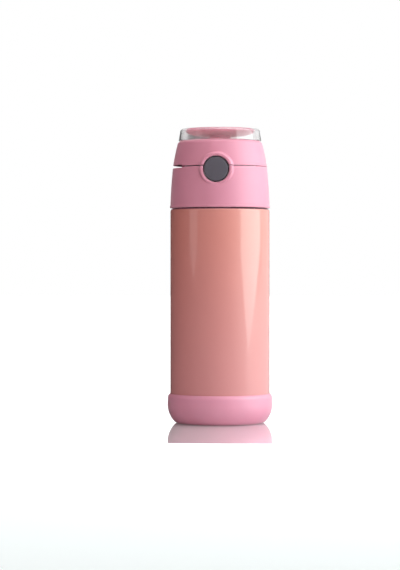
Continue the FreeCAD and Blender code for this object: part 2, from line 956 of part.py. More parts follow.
def latch_slide():
    """Slide behind the button: front plate, sled, hooked post and spring peg."""
    body = new_body("latch_slide")
    plate = outline(sketch_on(body, "YZ_Plane"), [
        (-plate_front, slide_bottom),
        (-plate_back, slide_bottom),
        (-plate_back, deck_under - size("clearance")),
        (-plate_front, deck_under - size("clearance")),
    ])
    extrude(body, plate, size("latch_plate_width"), "both")
    post_top = deck_top - size("skirt_lift")
    hook = outline(sketch_on(body, "YZ_Plane"), [
        (-plate_back, slide_bottom),
        (-post_back, slide_bottom),
        (-post_back, post_top),
        (-post_front, post_top),
        (-hook_front, post_top - size("tooth_reach")),
        (-hook_front, hook_bottom),
        (-post_front, hook_bottom),
        (-post_front, sled_top),
        (-plate_back, sled_top),
    ])
    extrude(body, hook, size("latch_width"), "both")
    peg = sketch_on(body, "XZ_Plane", post_back)
    disc_outline(peg, (0, spring_z), (half("button_coil") - size("button_wire")) * 0.8)
    extrude(body, peg, size("spring_room") * 0.3, "down")
    return body


# Springs

def arc_from(start, heading, end):
    """The arc that leaves start along heading, a corner point, and arrives at end, equally far from it."""
    chord = (start + end) * 0.5
    lean = (start - chord).Length / (heading - start).Length
    middle = chord + (heading - chord) * (lean / (1 + lean))
    return Part.Arc(start, middle, end).toShape()


def biarc(start, start_way, end, end_way):
    """Two arcs, smooth where they meet, between two points with given directions."""
    reach = end - start
    both = start_way + end_way
    bend = 2 * (1 - start_way.dot(end_way))
    along = reach.dot(both)
    arm = (math.sqrt(along ** 2 + bend * reach.dot(reach)) - along) / bend
    first = start + start_way * arm
    second = end - end_way * arm
    middle = (first + second) * 0.5
    return [arc_from(start, first, middle), arc_from(middle, second, end)]


def coil_edges(spot, way, turns):
    """Edges of a coil, about a quarter turn at a time."""
    quarters = max(round(turns * 4), 1)
    steps = [turns * number / quarters for number in range(quarters + 1)]
    edges = []
    for before, after in zip(steps, steps[1:]):
        edges += biarc(spot(before), way(before), spot(after), way(after))
    return edges


def tube(edges, start_way, wire):
    """Sweeps a round wire along joined edges as one solid."""
    path = Part.Wire(edges)
    start = edges[0].valueAt(edges[0].FirstParameter)
    ring = Part.Wire([Part.Circle(start, start_way, wire / 2).toShape()])
    shell = Part.BRepOffsetAPI.MakePipeShell(path)
    shell.add(ring, False, False)
    shell.build()
    shell.makeSolid()
    return shell.shape()


def least_gap(spot, turns, wire):
    """Least clear distance between neighbouring turns, measured on points along the coil."""
    steps = [turns * number / 240 for number in range(241)]
    points = [(step, spot(step)) for step in steps]
    gaps = [
        (first - second).Length - wire
        for at, first in points
        for after, second in points
        if after - at > 0.6
    ]
    return min(gaps)


def spring(label, edges, start_way, wire, gap):
    node = doc.addObject("Part::Feature", label)
    node.Label = label
    node.Shape = tube(edges, start_way, wire)
    print(f"{label}: least gap between turns {gap:.2f} mm")
    return node


def button_spring():
    """Compression spring between the latch post and the collar's rib."""
    wire = SIZES["button_wire"]
    coil = SIZES["button_coil"] / 2
    turns = SIZES["button_turns"]
    front = -value(post_back) + wire / 2 + 0.05
    back = -value(rib_front) - wire / 2 - 0.05
    pitch = (back - front) / turns
    height = value(spring_z)

    def spot(turn):
        angle = 2 * math.pi * turn
        return FreeCAD.Vector(coil * math.cos(angle), front + pitch * turn, height + coil * math.sin(angle))

    def way(turn):
        angle = 2 * math.pi * turn
        speed = 2 * math.pi * coil
        return FreeCAD.Vector(-speed * math.sin(angle), pitch, speed * math.cos(angle)).normalize()

    edges = coil_edges(spot, way, turns)
    return spring("button_spring", edges, way(0), wire, least_gap(spot, turns, wire))


def hinge_spring():
    """Torsion spring round the pin, with one leg along the collar's deck and one under the cap."""
    wire = SIZES["hinge_wire"]
    coil = SIZES["hinge_coil"] / 2
    pitch = SIZES["hinge_pitch"]
    centre_y = value(hinge_y)
    centre_z = value(hinge_z)
    leg = SIZES["hinge_leg"]
    first = math.radians(261)
    last = math.radians(90)
    turns = SIZES["hinge_turns"] + (last - first) / (2 * math.pi)
    left = -pitch * turns / 2

    def spot(turn):
        angle = first + 2 * math.pi * turn
        across = left + pitch * turn
        return FreeCAD.Vector(across, centre_y + coil * math.cos(angle), centre_z + coil * math.sin(angle))

    def way(turn):
        angle = first + 2 * math.pi * turn
        speed = 2 * math.pi * coil
        return FreeCAD.Vector(pitch, -speed * math.sin(angle), speed * math.cos(angle)).normalize()

    lower_leg = Part.LineSegment(spot(0) - way(0) * leg, spot(0)).toShape()
    upper_leg = Part.LineSegment(spot(turns), spot(turns) + way(turns) * leg).toShape()
    edges = [lower_leg] + coil_edges(spot, way, turns) + [upper_leg]
    return spring("hinge_spring", edges, way(0), wire, least_gap(spot, turns, wire))


PIECES = [
    outer_shell, inner_liner, base_plate, vacuum_seal_bead, getter, boot,
    neck_seal, straw, lid_insert, vent_valve, spout, collar, hinge_pin, hinge_spring, button_spring,
    cap_shell, cap_liner, spout_stopper, clear_dome, button_cap, latch_slide,
]

nodes = [build() for build in PIECES]
doc.recompute()

for item in doc.Objects:
    if "Invalid" in item.State or "Error" in item.State:
        raise RuntimeError(f"{item.Label} did not compute: {item.State}")

os.makedirs("parts", exist_ok=True)
for node in nodes:
    shape = node.Shape
    if shape.isNull() or not shape.isValid() or len(shape.Solids) != 1:
        raise RuntimeError(f"{node.Label} is not one sound solid")
    shape.exportStep(f"parts/{node.Label}.step")
    print(f"{node.Label}: {shape.Volume / 1000:.3f} cm3, {shape.BoundBox}")
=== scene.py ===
"""Dresses a packed child's straw bottle: lathe-turned flask and lid, clear dome, push button and stage."""

import math

import bmesh
import bpy
from mathutils import Matrix, Vector


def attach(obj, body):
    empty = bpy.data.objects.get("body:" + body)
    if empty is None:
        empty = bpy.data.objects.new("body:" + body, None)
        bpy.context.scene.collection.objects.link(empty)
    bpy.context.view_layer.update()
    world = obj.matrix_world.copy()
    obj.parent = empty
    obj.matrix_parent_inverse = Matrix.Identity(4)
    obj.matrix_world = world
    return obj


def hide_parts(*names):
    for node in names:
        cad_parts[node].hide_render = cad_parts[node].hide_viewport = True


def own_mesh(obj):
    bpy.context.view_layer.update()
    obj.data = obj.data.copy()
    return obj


bl_info = {
    "name": "Straw Bottle",
    "version": (1, 0, 0),
    "blender": (4, 5, 0),
    "location": "View3D > Sidebar > Bottle",
    "description": "Builds the visible pieces of an insulated straw bottle with a flip cap",
    "category": "Object",
}

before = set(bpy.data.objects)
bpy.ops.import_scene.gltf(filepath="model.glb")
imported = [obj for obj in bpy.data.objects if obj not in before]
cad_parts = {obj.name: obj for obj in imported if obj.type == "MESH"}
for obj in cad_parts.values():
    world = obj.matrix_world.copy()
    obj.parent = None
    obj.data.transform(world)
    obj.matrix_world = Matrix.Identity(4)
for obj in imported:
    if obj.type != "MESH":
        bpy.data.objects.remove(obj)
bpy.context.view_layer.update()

MM = 0.001

# Mesh making
LATHE_STEPS = 192
CORNER_STEPS = 5
CORNER_SHARE = 0.49
THREAD_STEPS = 72
THREAD_RUN_OUT = 0.18
WELD_GAP = 0.004 * MM
CLEAN_GAP = 0.03 * MM

# Photograph's frame, in pixels, and the camera's sensor in millimetres
PHOTO_HEIGHT = 570.0
FOCAL_PIXELS = 2070.0
SHIFT_PIXELS = (-19.95, -17.3)
SENSOR = 36.0

# Stage, in metres; the strengths are shares of white
FLOOR_GREY = (0.86, 0.86, 0.86)
FLOOR_LIFT = 0.25
FLOOR_GLOSS = 0.82
FLOOR_REACH = 6.0
FLOOR_Z = -0.0006
PLATE_Z = -0.0002
PLATE_EDGE = -0.163
LOW_ANGLE = (0.84, 0.91)
ROOM_LEAN = (0.26, -0.28, 0.40)
ROOM_LEVEL = 0.23
BACK_SHEET = 1.25
BACK_SHEET_EDGE = (0.985, 0.991)
MIRROR_GAIN = 0.45
DOME_GAIN = 2.0
DOME_SIDES = ((0.37, 0.10), (0.455, 0.08), (0.465, 1.0), (0.66, 1.0))

# Heights between which the shell's colour turns lighter and pinker towards the boot, painted light standing
# in for light on the lower shell, in metres
FOOT_LIGHT_LOW = 0.020
FOOT_LIGHT_HIGH = 0.125

# Heights and radii of the bottle, in millimetres
BODY_R = 33.0
SHELL_WALL = 0.6
SHELL_BOTTOM = 2.6
SHOULDER_Z = 142.3
NECK_R = 25.4
MOUTH_Z = 156.1
LINER_R = 30.2
LINER_NECK_R = 24.78
LINER_BOTTOM = 8.0
LINER_WALL = 0.6
THREAD_START = SHOULDER_Z + 3.2
FOOT_ROUND = 8.0
SEAL_TOP = 157.4
WEB_TOP = 158.9
FLANGE_TOP = 160.6
VENT_Y = 13.4
SPRING_Z = 163.4
INSERT_BORE = 26.9
INSERT_R = 29.6
BUTTON_Z = 167.4
BUTTON_R = 7.9
BUTTON_PROUD = 0.3
RING_R = 10.55
HOLE_R = 8.65
BOSS_FACE = 32.333
BUTTON_FACE = 31.933
PLATE_FRONT = 28.433
COLLAR_BOTTOM = 142.6
COLLAR_TOP = 169.6
COLLAR_BORE = 29.7
COLLAR_RIM = 31.3
DECK_TOP = 168.0
DECK_UNDER = 166.0
PLATFORM_TOP = 171.3
NOTCH_X = 23.4
NOTCH_DEPTH = 0.8
CAP_BOTTOM = 170.1
CAP_TOP = 187.1
CAP_FOOT = 31.3
CAP_RIM = 27.8
CAP_CURVE = 150.0
CAP_WALL = 1.8
CAP_UNDER = 185.3
ROOF_UNDER = 183.7
SKIRT_BOTTOM = 168.6
DOME_FOOT = CAP_RIM - 0.3
DOME_RIM = DOME_FOOT - 1.25
DOME_TOP = CAP_TOP + 7.995
DOME_WALL = 3.0
DOME_UNDER = DOME_TOP - 0.9
SPOUT_TIP = 181.2
HINGE_Y = 30.5
HINGE_Z = 169.85
BARREL_R = 3.2
RELIEF_R = 3.7
PIN_R = 1.2
LUG_END = 11.0
BORE_END = LUG_END + 1.0
KNUCKLE_ROOM = 7.15


class BottleSizes(bpy.types.PropertyGroup):
    """Sizes of the drawn detail that the solids leave out, and the camera's place."""

    edge_round: bpy.props.FloatProperty(
        name="Edge rounding", description="Radius of the moulded edges of the lid",
        default=0.12 * MM, unit="LENGTH", precision=5)
    thread_pitch: bpy.props.FloatProperty(
        name="Thread pitch", description="Rise of the screw thread in one turn",
        default=4.0 * MM, unit="LENGTH", precision=5)
    thread_depth: bpy.props.FloatProperty(
        name="Thread depth", description="Height of the thread's ridge over the neck",
        default=1.0 * MM, unit="LENGTH", precision=5)
    thread_turns: bpy.props.FloatProperty(
        name="Thread turns", description="Number of turns of thread on the neck", default=1.9)
    camera_distance: bpy.props.FloatProperty(
        name="Camera distance", description="From the camera to the bottle's axis",
        default=1.379, unit="LENGTH")
    camera_height: bpy.props.FloatProperty(
        name="Camera height", description="Height of the lens over the table",
        default=0.103, unit="LENGTH")
    camera_turn: bpy.props.FloatProperty(
        name="Camera turn", description="How far the camera stands to the right of the button",
        default=math.radians(4.6), unit="ROTATION")


class BottleColours(bpy.types.PropertyGroup):
    """Colours of the bottle's finishes, with the painted light on the lower shell."""

    coral: bpy.props.FloatVectorProperty(
        name="Coral paint", description="Paint on the steel shell", subtype="COLOR",
        default=(0.625, 0.172, 0.140), min=0, max=1)
    # Painted light: the shell's colour near the boot, lighter and pinker than the coral, stands in for light
    # falling on the lower shell.
    coral_foot_painted_light: bpy.props.FloatVectorProperty(
        name="Coral at the foot", description="Paint near the boot", subtype="COLOR",
        default=(0.635, 0.200, 0.200), min=0, max=1)
    pink: bpy.props.FloatVectorProperty(
        name="Pink plastic", description="Collar and flip cap", subtype="COLOR",
        default=(0.66, 0.205, 0.295), min=0, max=1)
    rose: bpy.props.FloatVectorProperty(
        name="Rose silicone", description="Boot", subtype="COLOR",
        default=(0.70, 0.235, 0.335), min=0, max=1)
    slate: bpy.props.FloatVectorProperty(
        name="Slate plastic", description="Push button", subtype="COLOR",
        default=(0.097, 0.077, 0.096), min=0, max=1)
    steel: bpy.props.FloatVectorProperty(
        name="Steel", description="Bare steel of neck and liner", subtype="COLOR",
        default=(0.60, 0.60, 0.61), min=0, max=1)
    milk: bpy.props.FloatVectorProperty(
        name="Milky silicone", description="Spout, straw and seals", subtype="COLOR",
        default=(0.82, 0.82, 0.80), min=0, max=1)
    pale: bpy.props.FloatVectorProperty(
        name="Pale plastic", description="Inner lid and latch", subtype="COLOR",
        default=(0.82, 0.76, 0.77), min=0, max=1)


# Outlines

def bow(start, end, radius, turn, steps=10):
    """Points strictly between start and end on an arc; turn is 1 anticlockwise and -1 clockwise."""
    first = Vector(start)
    last = Vector(end)
    chord = last - first
    rise = math.sqrt(max(radius ** 2 - (chord.length / 2) ** 2, 0.0))
    across = Vector((-chord.y, chord.x)).normalized()
    centre = (first + last) / 2 + across * (turn * rise)
    begin = math.atan2(first.y - centre.y, first.x - centre.x)
    sweep = 2 * math.asin(min(chord.length / 2 / radius, 1.0)) * turn
    return [
        (centre.x + radius * math.cos(begin + sweep * step / steps),
         centre.y + radius * math.sin(begin + sweep * step / steps))
        for step in range(1, steps)
    ]


def soften(corners):
    """Turns (r, z) and (r, z, round) corners into points, with the named corners rounded."""
    points = []
    for number, corner in enumerate(corners):
        here = Vector(corner[:2])
        if len(corner) == 2:
            points.append(tuple(here))
            continue
        before = Vector(corners[number - 1][:2]) - here
        after = Vector(corners[(number + 1) % len(corners)][:2]) - here
        half = before.angle(after) / 2
        room = min(before.length, after.length) * CORNER_SHARE
        reach = min(corner[2] / math.tan(half), room)
        radius = reach * math.tan(half)
        start = here + before.normalized() * reach
        end = here + after.normalized() * reach
        cross = before.x * after.y - before.y * after.x
        points.append(tuple(start))
        points += bow(start, end, radius, 1 if cross < 0 else -1, CORNER_STEPS)
        points.append(tuple(end))
    return points


# Meshes

def new_object(name, mesh):
    """Object of a mesh or curve, put into the scene."""
    thing = bpy.data.objects.new(name, mesh)
    bpy.context.scene.collection.objects.link(thing)
    return thing


def shade(thing, angle=38.0):
    """Smooth shading, with edges sharper than an angle in degrees left crisp."""
    thing.data.shade_smooth()
    thing.data.set_sharp_from_angle(angle=math.radians(angle))
    return thing


def lathe(name, outline, place=None, steps=LATHE_STEPS):
    """Turns a closed outline of (radius, height) points, in millimetres, about its own Z."""
    work = bmesh.new()
    rings = []
    for radius, height in outline:
        if radius < 1e-6:
            rings.append([work.verts.new((0, 0, height * MM))])
            continue
        rings.append([
            work.verts.new((
                radius * MM * math.cos(2 * math.pi * step / steps),
                radius * MM * math.sin(2 * math.pi * step / steps),
                height * MM))
            for step in range(steps)
        ])
    for number, ring in enumerate(rings):
        other = rings[(number + 1) % len(rings)]
        for step in range(steps):
            after = (step + 1) % steps
            corners = [ring[step % len(ring)], ring[after % len(ring)],
                       other[after % len(other)], other[step % len(other)]]
            unique = list(dict.fromkeys(corners))
            if len(unique) > 2:
                work.faces.new(unique)
    bmesh.ops.recalc_face_normals(work, faces=work.faces)
    mesh = bpy.data.meshes.new(name)
    work.to_mesh(mesh)
    work.free()
    if place is not None:
        mesh.transform(place)
    return shade(new_object(name, mesh))


def prism(name, outline, low, high):
    """Pushes a (y, z) outline along X from low to high, in millimetres."""
    work = bmesh.new()
    near = [work.verts.new((low * MM, y * MM, z * MM)) for y, z in outline]
    far = [work.verts.new((high * MM, y * MM, z * MM)) for y, z in outline]
    work.faces.new(near)
    work.faces.new(far)
    for number in range(len(outline)):
        after = (number + 1) % len(outline)
        work.faces.new([near[number], near[after], far[after], far[number]])
    bmesh.ops.recalc_face_normals(work, faces=work.faces)
    mesh = bpy.data.meshes.new(name)
    work.to_mesh(mesh)
    work.free()
    return new_object(name, mesh)


def block(name, low, high):
    """Box between two corners, in millimetres."""
    outline = [(low[1], low[2]), (high[1], low[2]), (high[1], high[2]), (low[1], high[2])]
    return prism(name, outline, low[0], high[0])


FRONT = Matrix.Translation((0, 0, BUTTON_Z * MM)) @ Matrix.Rotation(math.radians(90), 4, "X")
AT_VENT = Matrix.Translation((0, VENT_Y * MM, 0))
ACROSS = Matrix.Translation((0, HINGE_Y * MM, HINGE_Z * MM)) @ Matrix.Rotation(math.radians(90), 4, "Y")


def rod(name, radius, low, high, place, steps=96):
    """Round bar along its own Z, in millimetres."""
    return lathe(name, [(0, low), (radius, low), (radius, high), (0, high)], place, steps)


def bake(thing):
    """Replaces the mesh by what its modifiers make of it."""
    graph = bpy.context.evaluated_depsgraph_get()
    made = bpy.data.meshes.new_from_object(thing.evaluated_get(graph))
    old = thing.data
    thing.modifiers.clear()
    thing.data = made
    bpy.data.meshes.remove(old)


def combine(thing, other, operation):
    """Cuts or joins another solid, which is used up."""
    modifier = thing.modifiers.new("combine", "BOOLEAN")
    modifier.operation = operation
    modifier.solver = "EXACT"
    modifier.object = other
    weld = thing.modifiers.new("weld", "WELD")
    weld.merge_threshold = WELD_GAP
    bake(thing)
    bpy.data.objects.remove(other)


def cut(thing, other):
    combine(thing, other, "DIFFERENCE")


def join(thing, other):
    combine(thing, other, "UNION")


def clean_mesh(thing, gap):
    """Fills the hair-thin slits that cutting can leave, and drops faces thinner than a gap."""
    work = bmesh.new()
    work.from_mesh(thing.data)
    bmesh.ops.holes_fill(work, edges=[edge for edge in work.edges if edge.is_boundary], sides=0)
    bmesh.ops.dissolve_degenerate(work, dist=gap, edges=work.edges[:])
    work.to_mesh(thing.data)
    work.free()


def round_edges(thing, width, angle=32.0, segments=2):
    """Rounds the sharp edges left by cutting and joining."""
    weld = thing.modifiers.new("weld", "WELD")
    weld.merge_threshold = CLEAN_GAP
    bake(thing)
    clean_mesh(thing, CLEAN_GAP)
    modifier = thing.modifiers.new("round", "BEVEL")
    modifier.width = width
    modifier.segments = segments
    modifier.limit_method = "ANGLE"
    modifier.angle_limit = math.radians(angle)
    modifier.use_clamp_overlap = True
    modifier.miter_outer = "MITER_ARC"
    bake(thing)
    clean_mesh(thing, WELD_GAP)
    return shade(thing, 30.0)


def helix_ridge(name, radius, depth, width, pitch, turns, base, inward=False, place=None):
    """A screw thread's ridge with run-out at both ends, in millimetres."""
    work = bmesh.new()
    steps = round(turns * THREAD_STEPS)
    way = -1 if inward else 1
    rings = []
    for step in range(steps + 1):
        turn = turns * step / steps
        angle = 2 * math.pi * turn
        fade = min(max(min(turn, turns - turn) / THREAD_RUN_OUT, 0.0), 1.0)
        crest = depth * (fade * fade * (3 - 2 * fade))
        height = base + pitch * turn
        section = [(-0.2, -0.5), (0.35 * crest, -0.42), (0.9 * crest, -0.22), (crest, 0.0),
                   (0.9 * crest, 0.22), (0.35 * crest, 0.42), (-0.2, 0.5)]
        ring = []
        for rise, along in section:
            out = (radius + way * rise) * MM
            up = (height + along * width) * MM
            ring.append(work.verts.new((out * math.cos(angle), out * math.sin(angle), up)))
        rings.append(ring)
    for ring, after in zip(rings, rings[1:]):
        for number in range(len(ring)):
            other = (number + 1) % len(ring)
            work.faces.new([ring[number], ring[other], after[other], after[number]])
    work.faces.new(rings[0])
    work.faces.new(rings[-1])
    bmesh.ops.recalc_face_normals(work, faces=work.faces)
    mesh = bpy.data.meshes.new(name)
    work.to_mesh(mesh)
    work.free()
    if place is not None:
        mesh.transform(place)
    return shade(new_object(name, mesh), 50.0)


def wire_tube(name, points, radius):
    """Round wire through points, in millimetres, with capped ends."""
    curve = bpy.data.curves.new(name, "CURVE")
    curve.dimensions = "3D"
    curve.bevel_depth = radius * MM
    curve.bevel_resolution = 4
    curve.use_fill_caps = True
    spline = curve.splines.new("POLY")
    spline.points.add(len(points) - 1)
    for spot, point in zip(spline.points, points):
        spot.co = (point[0] * MM, point[1] * MM, point[2] * MM, 1.0)
    source = new_object(name + "_path", curve)
    graph = bpy.context.evaluated_depsgraph_get()
    mesh = bpy.data.meshes.new_from_object(source.evaluated_get(graph))
    bpy.data.objects.remove(source)
    mesh.name = name
    return shade(new_object(name, mesh), 60.0)


# Finishes

def link(tree, start, end):
    tree.links.new(start, end)


def finish(name, colour, roughness, grain, bump, drift=0.06, sweep=None, foot=None, **sockets):
    """A finish with slow colour drift, uneven gloss and a fine relief of the given grain, in metres."""
    made = bpy.data.materials.new(name + "_finish")
    made["bottle_slot"] = name
    made.use_nodes = True
    tree = made.node_tree
    shader = tree.nodes["Principled BSDF"]
    for socket, value in sockets.items():
        shader.inputs[socket.replace("_", " ")].default_value = value
    place = tree.nodes.new("ShaderNodeTexCoord")
    stretch = tree.nodes.new("ShaderNodeMapping")
    stretch.inputs["Scale"].default_value = sweep or (1.0, 1.0, 1.0)
    link(tree, place.outputs["Object"], stretch.inputs["Vector"])

    cloud = tree.nodes.new("ShaderNodeTexNoise")
    cloud.inputs["Scale"].default_value = 34.0
    cloud.inputs["Detail"].default_value = 4.0
    link(tree, place.outputs["Object"], cloud.inputs["Vector"])
    tint = tree.nodes.new("ShaderNodeValToRGB")
    dark = [channel * (1 - drift) for channel in colour]
    light = [min(channel * (1 + drift), 1.0) for channel in colour]
    tint.color_ramp.elements[0].position = 0.3
    tint.color_ramp.elements[1].position = 0.7
    tint.color_ramp.elements[0].color = (*dark, 1.0)
    tint.color_ramp.elements[1].color = (*light, 1.0)
    link(tree, cloud.outputs["Fac"], tint.inputs["Fac"])
    link(tree, tint.outputs["Color"], shader.inputs["Base Color"])
    # Painted light: with a foot colour, the base colour turns lighter and pinker towards the bottom,
    # standing in for light on the lower part.
    if foot is not None:
        height = tree.nodes.new("ShaderNodeSeparateXYZ")
        link(tree, place.outputs["Object"], height.inputs[0])
        rise = tree.nodes.new("ShaderNodeMapRange")
        rise.inputs["From Min"].default_value = FOOT_LIGHT_LOW
        rise.inputs["From Max"].default_value = FOOT_LIGHT_HIGH
        link(tree, height.outputs["Z"], rise.inputs["Value"])
        painted_foot_light = tree.nodes.new("ShaderNodeMixRGB")
        painted_foot_light.inputs["Color1"].default_value = (*foot, 1.0)
        link(tree, rise.outputs["Result"], painted_foot_light.inputs["Fac"])
        link(tree, tint.outputs["Color"], painted_foot_light.inputs["Color2"])
        link(tree, painted_foot_light.outputs["Color"], shader.inputs["Base Color"])

    speck = tree.nodes.new("ShaderNodeTexNoise")
    speck.inputs["Scale"].default_value = 1.0 / grain
    speck.inputs["Detail"].default_value = 3.0
    link(tree, stretch.outputs["Vector"], speck.inputs["Vector"])
    gloss = tree.nodes.new("ShaderNodeMapRange")
    gloss.inputs["To Min"].default_value = roughness * 0.88
    gloss.inputs["To Max"].default_value = roughness * 1.12
    link(tree, speck.outputs["Fac"], gloss.inputs["Value"])
    link(tree, gloss.outputs["Result"], shader.inputs["Roughness"])
    relief = tree.nodes.new("ShaderNodeBump")
    relief.inputs["Strength"].default_value = bump
    relief.inputs["Distance"].default_value = grain * 0.25
    link(tree, speck.outputs["Fac"], relief.inputs["Height"])
    link(tree, relief.outputs["Normal"], shader.inputs["Normal"])
    return made


def clear(made, density):
    """Lets the lamps shine in through a clear finish, and greys it where it is thick."""
    tree = made.node_tree
    path = tree.nodes.new("ShaderNodeLightPath")
    share = tree.nodes.new("ShaderNodeMath")
    share.operation = "MULTIPLY_ADD"
    share.inputs[1].default_value = -1.0
    share.inputs[2].default_value = 1.0
    link(tree, path.outputs["Is Shadow Ray"], share.inputs[0])
    link(tree, share.outputs[0], tree.nodes["Principled BSDF"].inputs["Alpha"])
    haze = tree.nodes.new("ShaderNodeVolumeAbsorption")
    haze.inputs["Color"].default_value = (0.12, 0.08, 0.07, 1.0)
    haze.inputs["Density"].default_value = density
    link(tree, haze.outputs[0], tree.nodes["Material Output"].inputs["Volume"])


def finishes():
    """Makes each finish once and returns it by the record's slot name."""
    ready = {made["bottle_slot"]: made for made in bpy.data.materials if made.get("bottle_slot")}
    if ready:
        return ready
    tone = bpy.context.scene.bottle_colours
    made = [
        # The coral shell carries painted light: its colour turns lighter and pinker towards the boot.
        finish("coral_paint", tone.coral, 0.58, 0.9 * MM, 0.05, 0.03, foot=tone.coral_foot_painted_light,
               Specular_IOR_Level=0.95, Coat_Weight=0.72, Coat_Roughness=0.10, Coat_IOR=1.5,
               Sheen_Weight=0.1, Sheen_Roughness=0.35),
        finish("pink_plastic", tone.pink, 0.60, 0.35 * MM, 0.10, 0.03, Specular_IOR_Level=1.0,
               Subsurface_Weight=0.06, Subsurface_Radius=(0.004, 0.002, 0.002), Subsurface_Scale=0.5,
               Sheen_Weight=0.25, Sheen_Roughness=0.35),
        finish("boot_silicone", tone.rose, 0.50, 0.3 * MM, 0.10, 0.04, Specular_IOR_Level=1.0,
               Subsurface_Weight=0.12, Subsurface_Radius=(0.005, 0.002, 0.002), Subsurface_Scale=0.5,
               Sheen_Weight=0.25, Sheen_Roughness=0.35),
        finish("grey_plastic", tone.slate, 0.40, 0.30 * MM, 0.18, 0.05, Specular_IOR_Level=0.45),
        finish("bare_steel", tone.steel, 0.26, 0.5 * MM, 0.10, 0.04, sweep=(1.0, 1.0, 14.0), Metallic=1.0,
               Anisotropic=0.4),
        finish("spring_steel", (0.56, 0.56, 0.57), 0.18, 0.2 * MM, 0.08, 0.05, Metallic=1.0),
        finish("clear_silicone", tone.milk, 0.38, 0.4 * MM, 0.08, 0.02, Transmission_Weight=0.35,
               IOR=1.41, Subsurface_Weight=0.3, Subsurface_Radius=(0.004, 0.004, 0.004),
               Subsurface_Scale=0.5),
        finish("pale_plastic", tone.pale, 0.44, 0.35 * MM, 0.10, 0.03, Specular_IOR_Level=0.45),
        finish("seal_glass", (0.10, 0.07, 0.05), 0.15, 0.5 * MM, 0.05, 0.10),
        finish("getter_metal", (0.16, 0.16, 0.17), 0.60, 0.2 * MM, 0.30, 0.12, Metallic=0.8),
        finish("clear_plastic", (0.98, 0.96, 0.965), 0.09, 6.0 * MM, 0.01, 0.01, Transmission_Weight=0.99,
               IOR=1.49),
    ]
    clear(made[-1], 4.0)
    return {entry["bottle_slot"]: entry for entry in made}


def dress(thing, body, slot, *nodes):
    """Gives a piece its finish, its body and the solids that it stands for."""
    thing.data.materials.clear()
    thing.data.materials.append(finishes()[slot])
    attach(thing, body)
    if nodes:
        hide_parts(*nodes)
    return thing


def coat_node(node, slot):
    """Gives a solid that is shown as it is the finish of its slot."""
    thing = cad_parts[node]
    thing.data.materials.clear()
    thing.data.materials.append(finishes()[slot])


# Pieces

class BOTTLE_OT_flask(bpy.types.Operator):
    """Spun steel flask: painted shell, bare threaded neck and inner liner"""

    bl_idname = "bottle.flask"
    bl_label = "Flask"

    def execute(self, context):
        sizes = context.scene.bottle_sizes
        inside = BODY_R - SHELL_WALL
        neck_inside = NECK_R - SHELL_WALL
        base_hole = 22.0
        lip = 0.25
        shell = lathe("flask_shell", soften([
            (base_hole, SHELL_BOTTOM),
            (BODY_R, SHELL_BOTTOM, FOOT_ROUND),
            (BODY_R, SHOULDER_Z, 2.0),
            (NECK_R, SHOULDER_Z, 0.5),
            (NECK_R, MOUTH_Z, lip),
            (neck_inside, MOUTH_Z),
            (neck_inside, SHOULDER_Z - SHELL_WALL, 0.5),
            (inside, SHOULDER_Z - SHELL_WALL, 1.4),
            (inside, SHELL_BOTTOM + SHELL_WALL, FOOT_ROUND - SHELL_WALL),
            (base_hole, SHELL_BOTTOM + SHELL_WALL),
        ]))
        dress(shell, "bottle", "coral_paint", "outer_shell")
        shell.data.materials.append(finishes()["bare_steel"])
        for face in shell.data.polygons:
            middle = face.center
            across = math.hypot(middle.x, middle.y)
            bare = across < (NECK_R + 0.9) * MM and middle.z > (SHOULDER_Z - 1.5) * MM
            hidden = across < (inside + 0.1) * MM
            face.material_index = 1 if bare or hidden else 0

        slope_low = 130.5
        slope_high = 139.5
        lower = 0.3
        liner = lathe("flask_liner", soften([
            (0, LINER_BOTTOM),
            (LINER_R, LINER_BOTTOM, FOOT_ROUND),
            (LINER_R, slope_low, 3.0),
            (LINER_NECK_R, slope_high, 2.0),
            (LINER_NECK_R, MOUTH_Z),
            (LINER_NECK_R - LINER_WALL, MOUTH_Z, lip),
            (LINER_NECK_R - LINER_WALL, slope_high - lower, 2.0),
            (LINER_R - LINER_WALL, slope_low - lower, 3.0),
            (LINER_R - LINER_WALL, LINER_BOTTOM + LINER_WALL, FOOT_ROUND - LINER_WALL),
            (0, LINER_BOTTOM + LINER_WALL),
        ]))
        dress(liner, "bottle", "bare_steel", "inner_liner")

        thread = helix_ridge(
            "neck_thread", NECK_R, sizes.thread_depth / MM, 1.9, sizes.thread_pitch / MM,
            sizes.thread_turns, THREAD_START)
        dress(thread, "bottle", "bare_steel")

        coat_node("base_plate", "bare_steel")
        coat_node("vacuum_seal_bead", "seal_glass")
        coat_node("getter", "getter_metal")
        return {"FINISHED"}


class BOTTLE_OT_boot(bpy.types.Operator):
    """Soft boot that grips the foot of the flask"""

    bl_idname = "bottle.boot"
    bl_label = "Boot"

    def execute(self, context):
        inside = BODY_R + 0.02
        outside = inside + 1.83
        top = 19.4
        ground = 29.4
        widest = 12.0
        recess = 0.8
        lip_start = (outside - 0.1, top - 3.0)
        lip_end = (inside + 0.2, top)
        curve = bow((ground, 0.0), (outside, widest), 16.0, 1, 14)
        boot = lathe("boot_skin", soften(
            [(0, recess), (24.0, recess, 0.4), (24.8, 0.0, 0.4), (ground - 0.5, 0.0, 0.3)]
            + curve
            + [(outside, widest), lip_start]
            + bow(lip_start, lip_end, 3.7, 1, 10)
            + [lip_end, (inside, top - 0.2),
               (inside, SHELL_BOTTOM, FOOT_ROUND), (0, SHELL_BOTTOM)]))
        dress(boot, "bottle", "boot_silicone", "boot")
        return {"FINISHED"}


def front_ring(name, root, steps=160):
    """Raised ring round the button, turned about the button's own axis."""
    return lathe(name, soften([
        (0, root), (RING_R + (BOSS_FACE - root) * 0.38, root), (RING_R, BOSS_FACE, 1.1), (0, BOSS_FACE),
    ]), FRONT, steps)


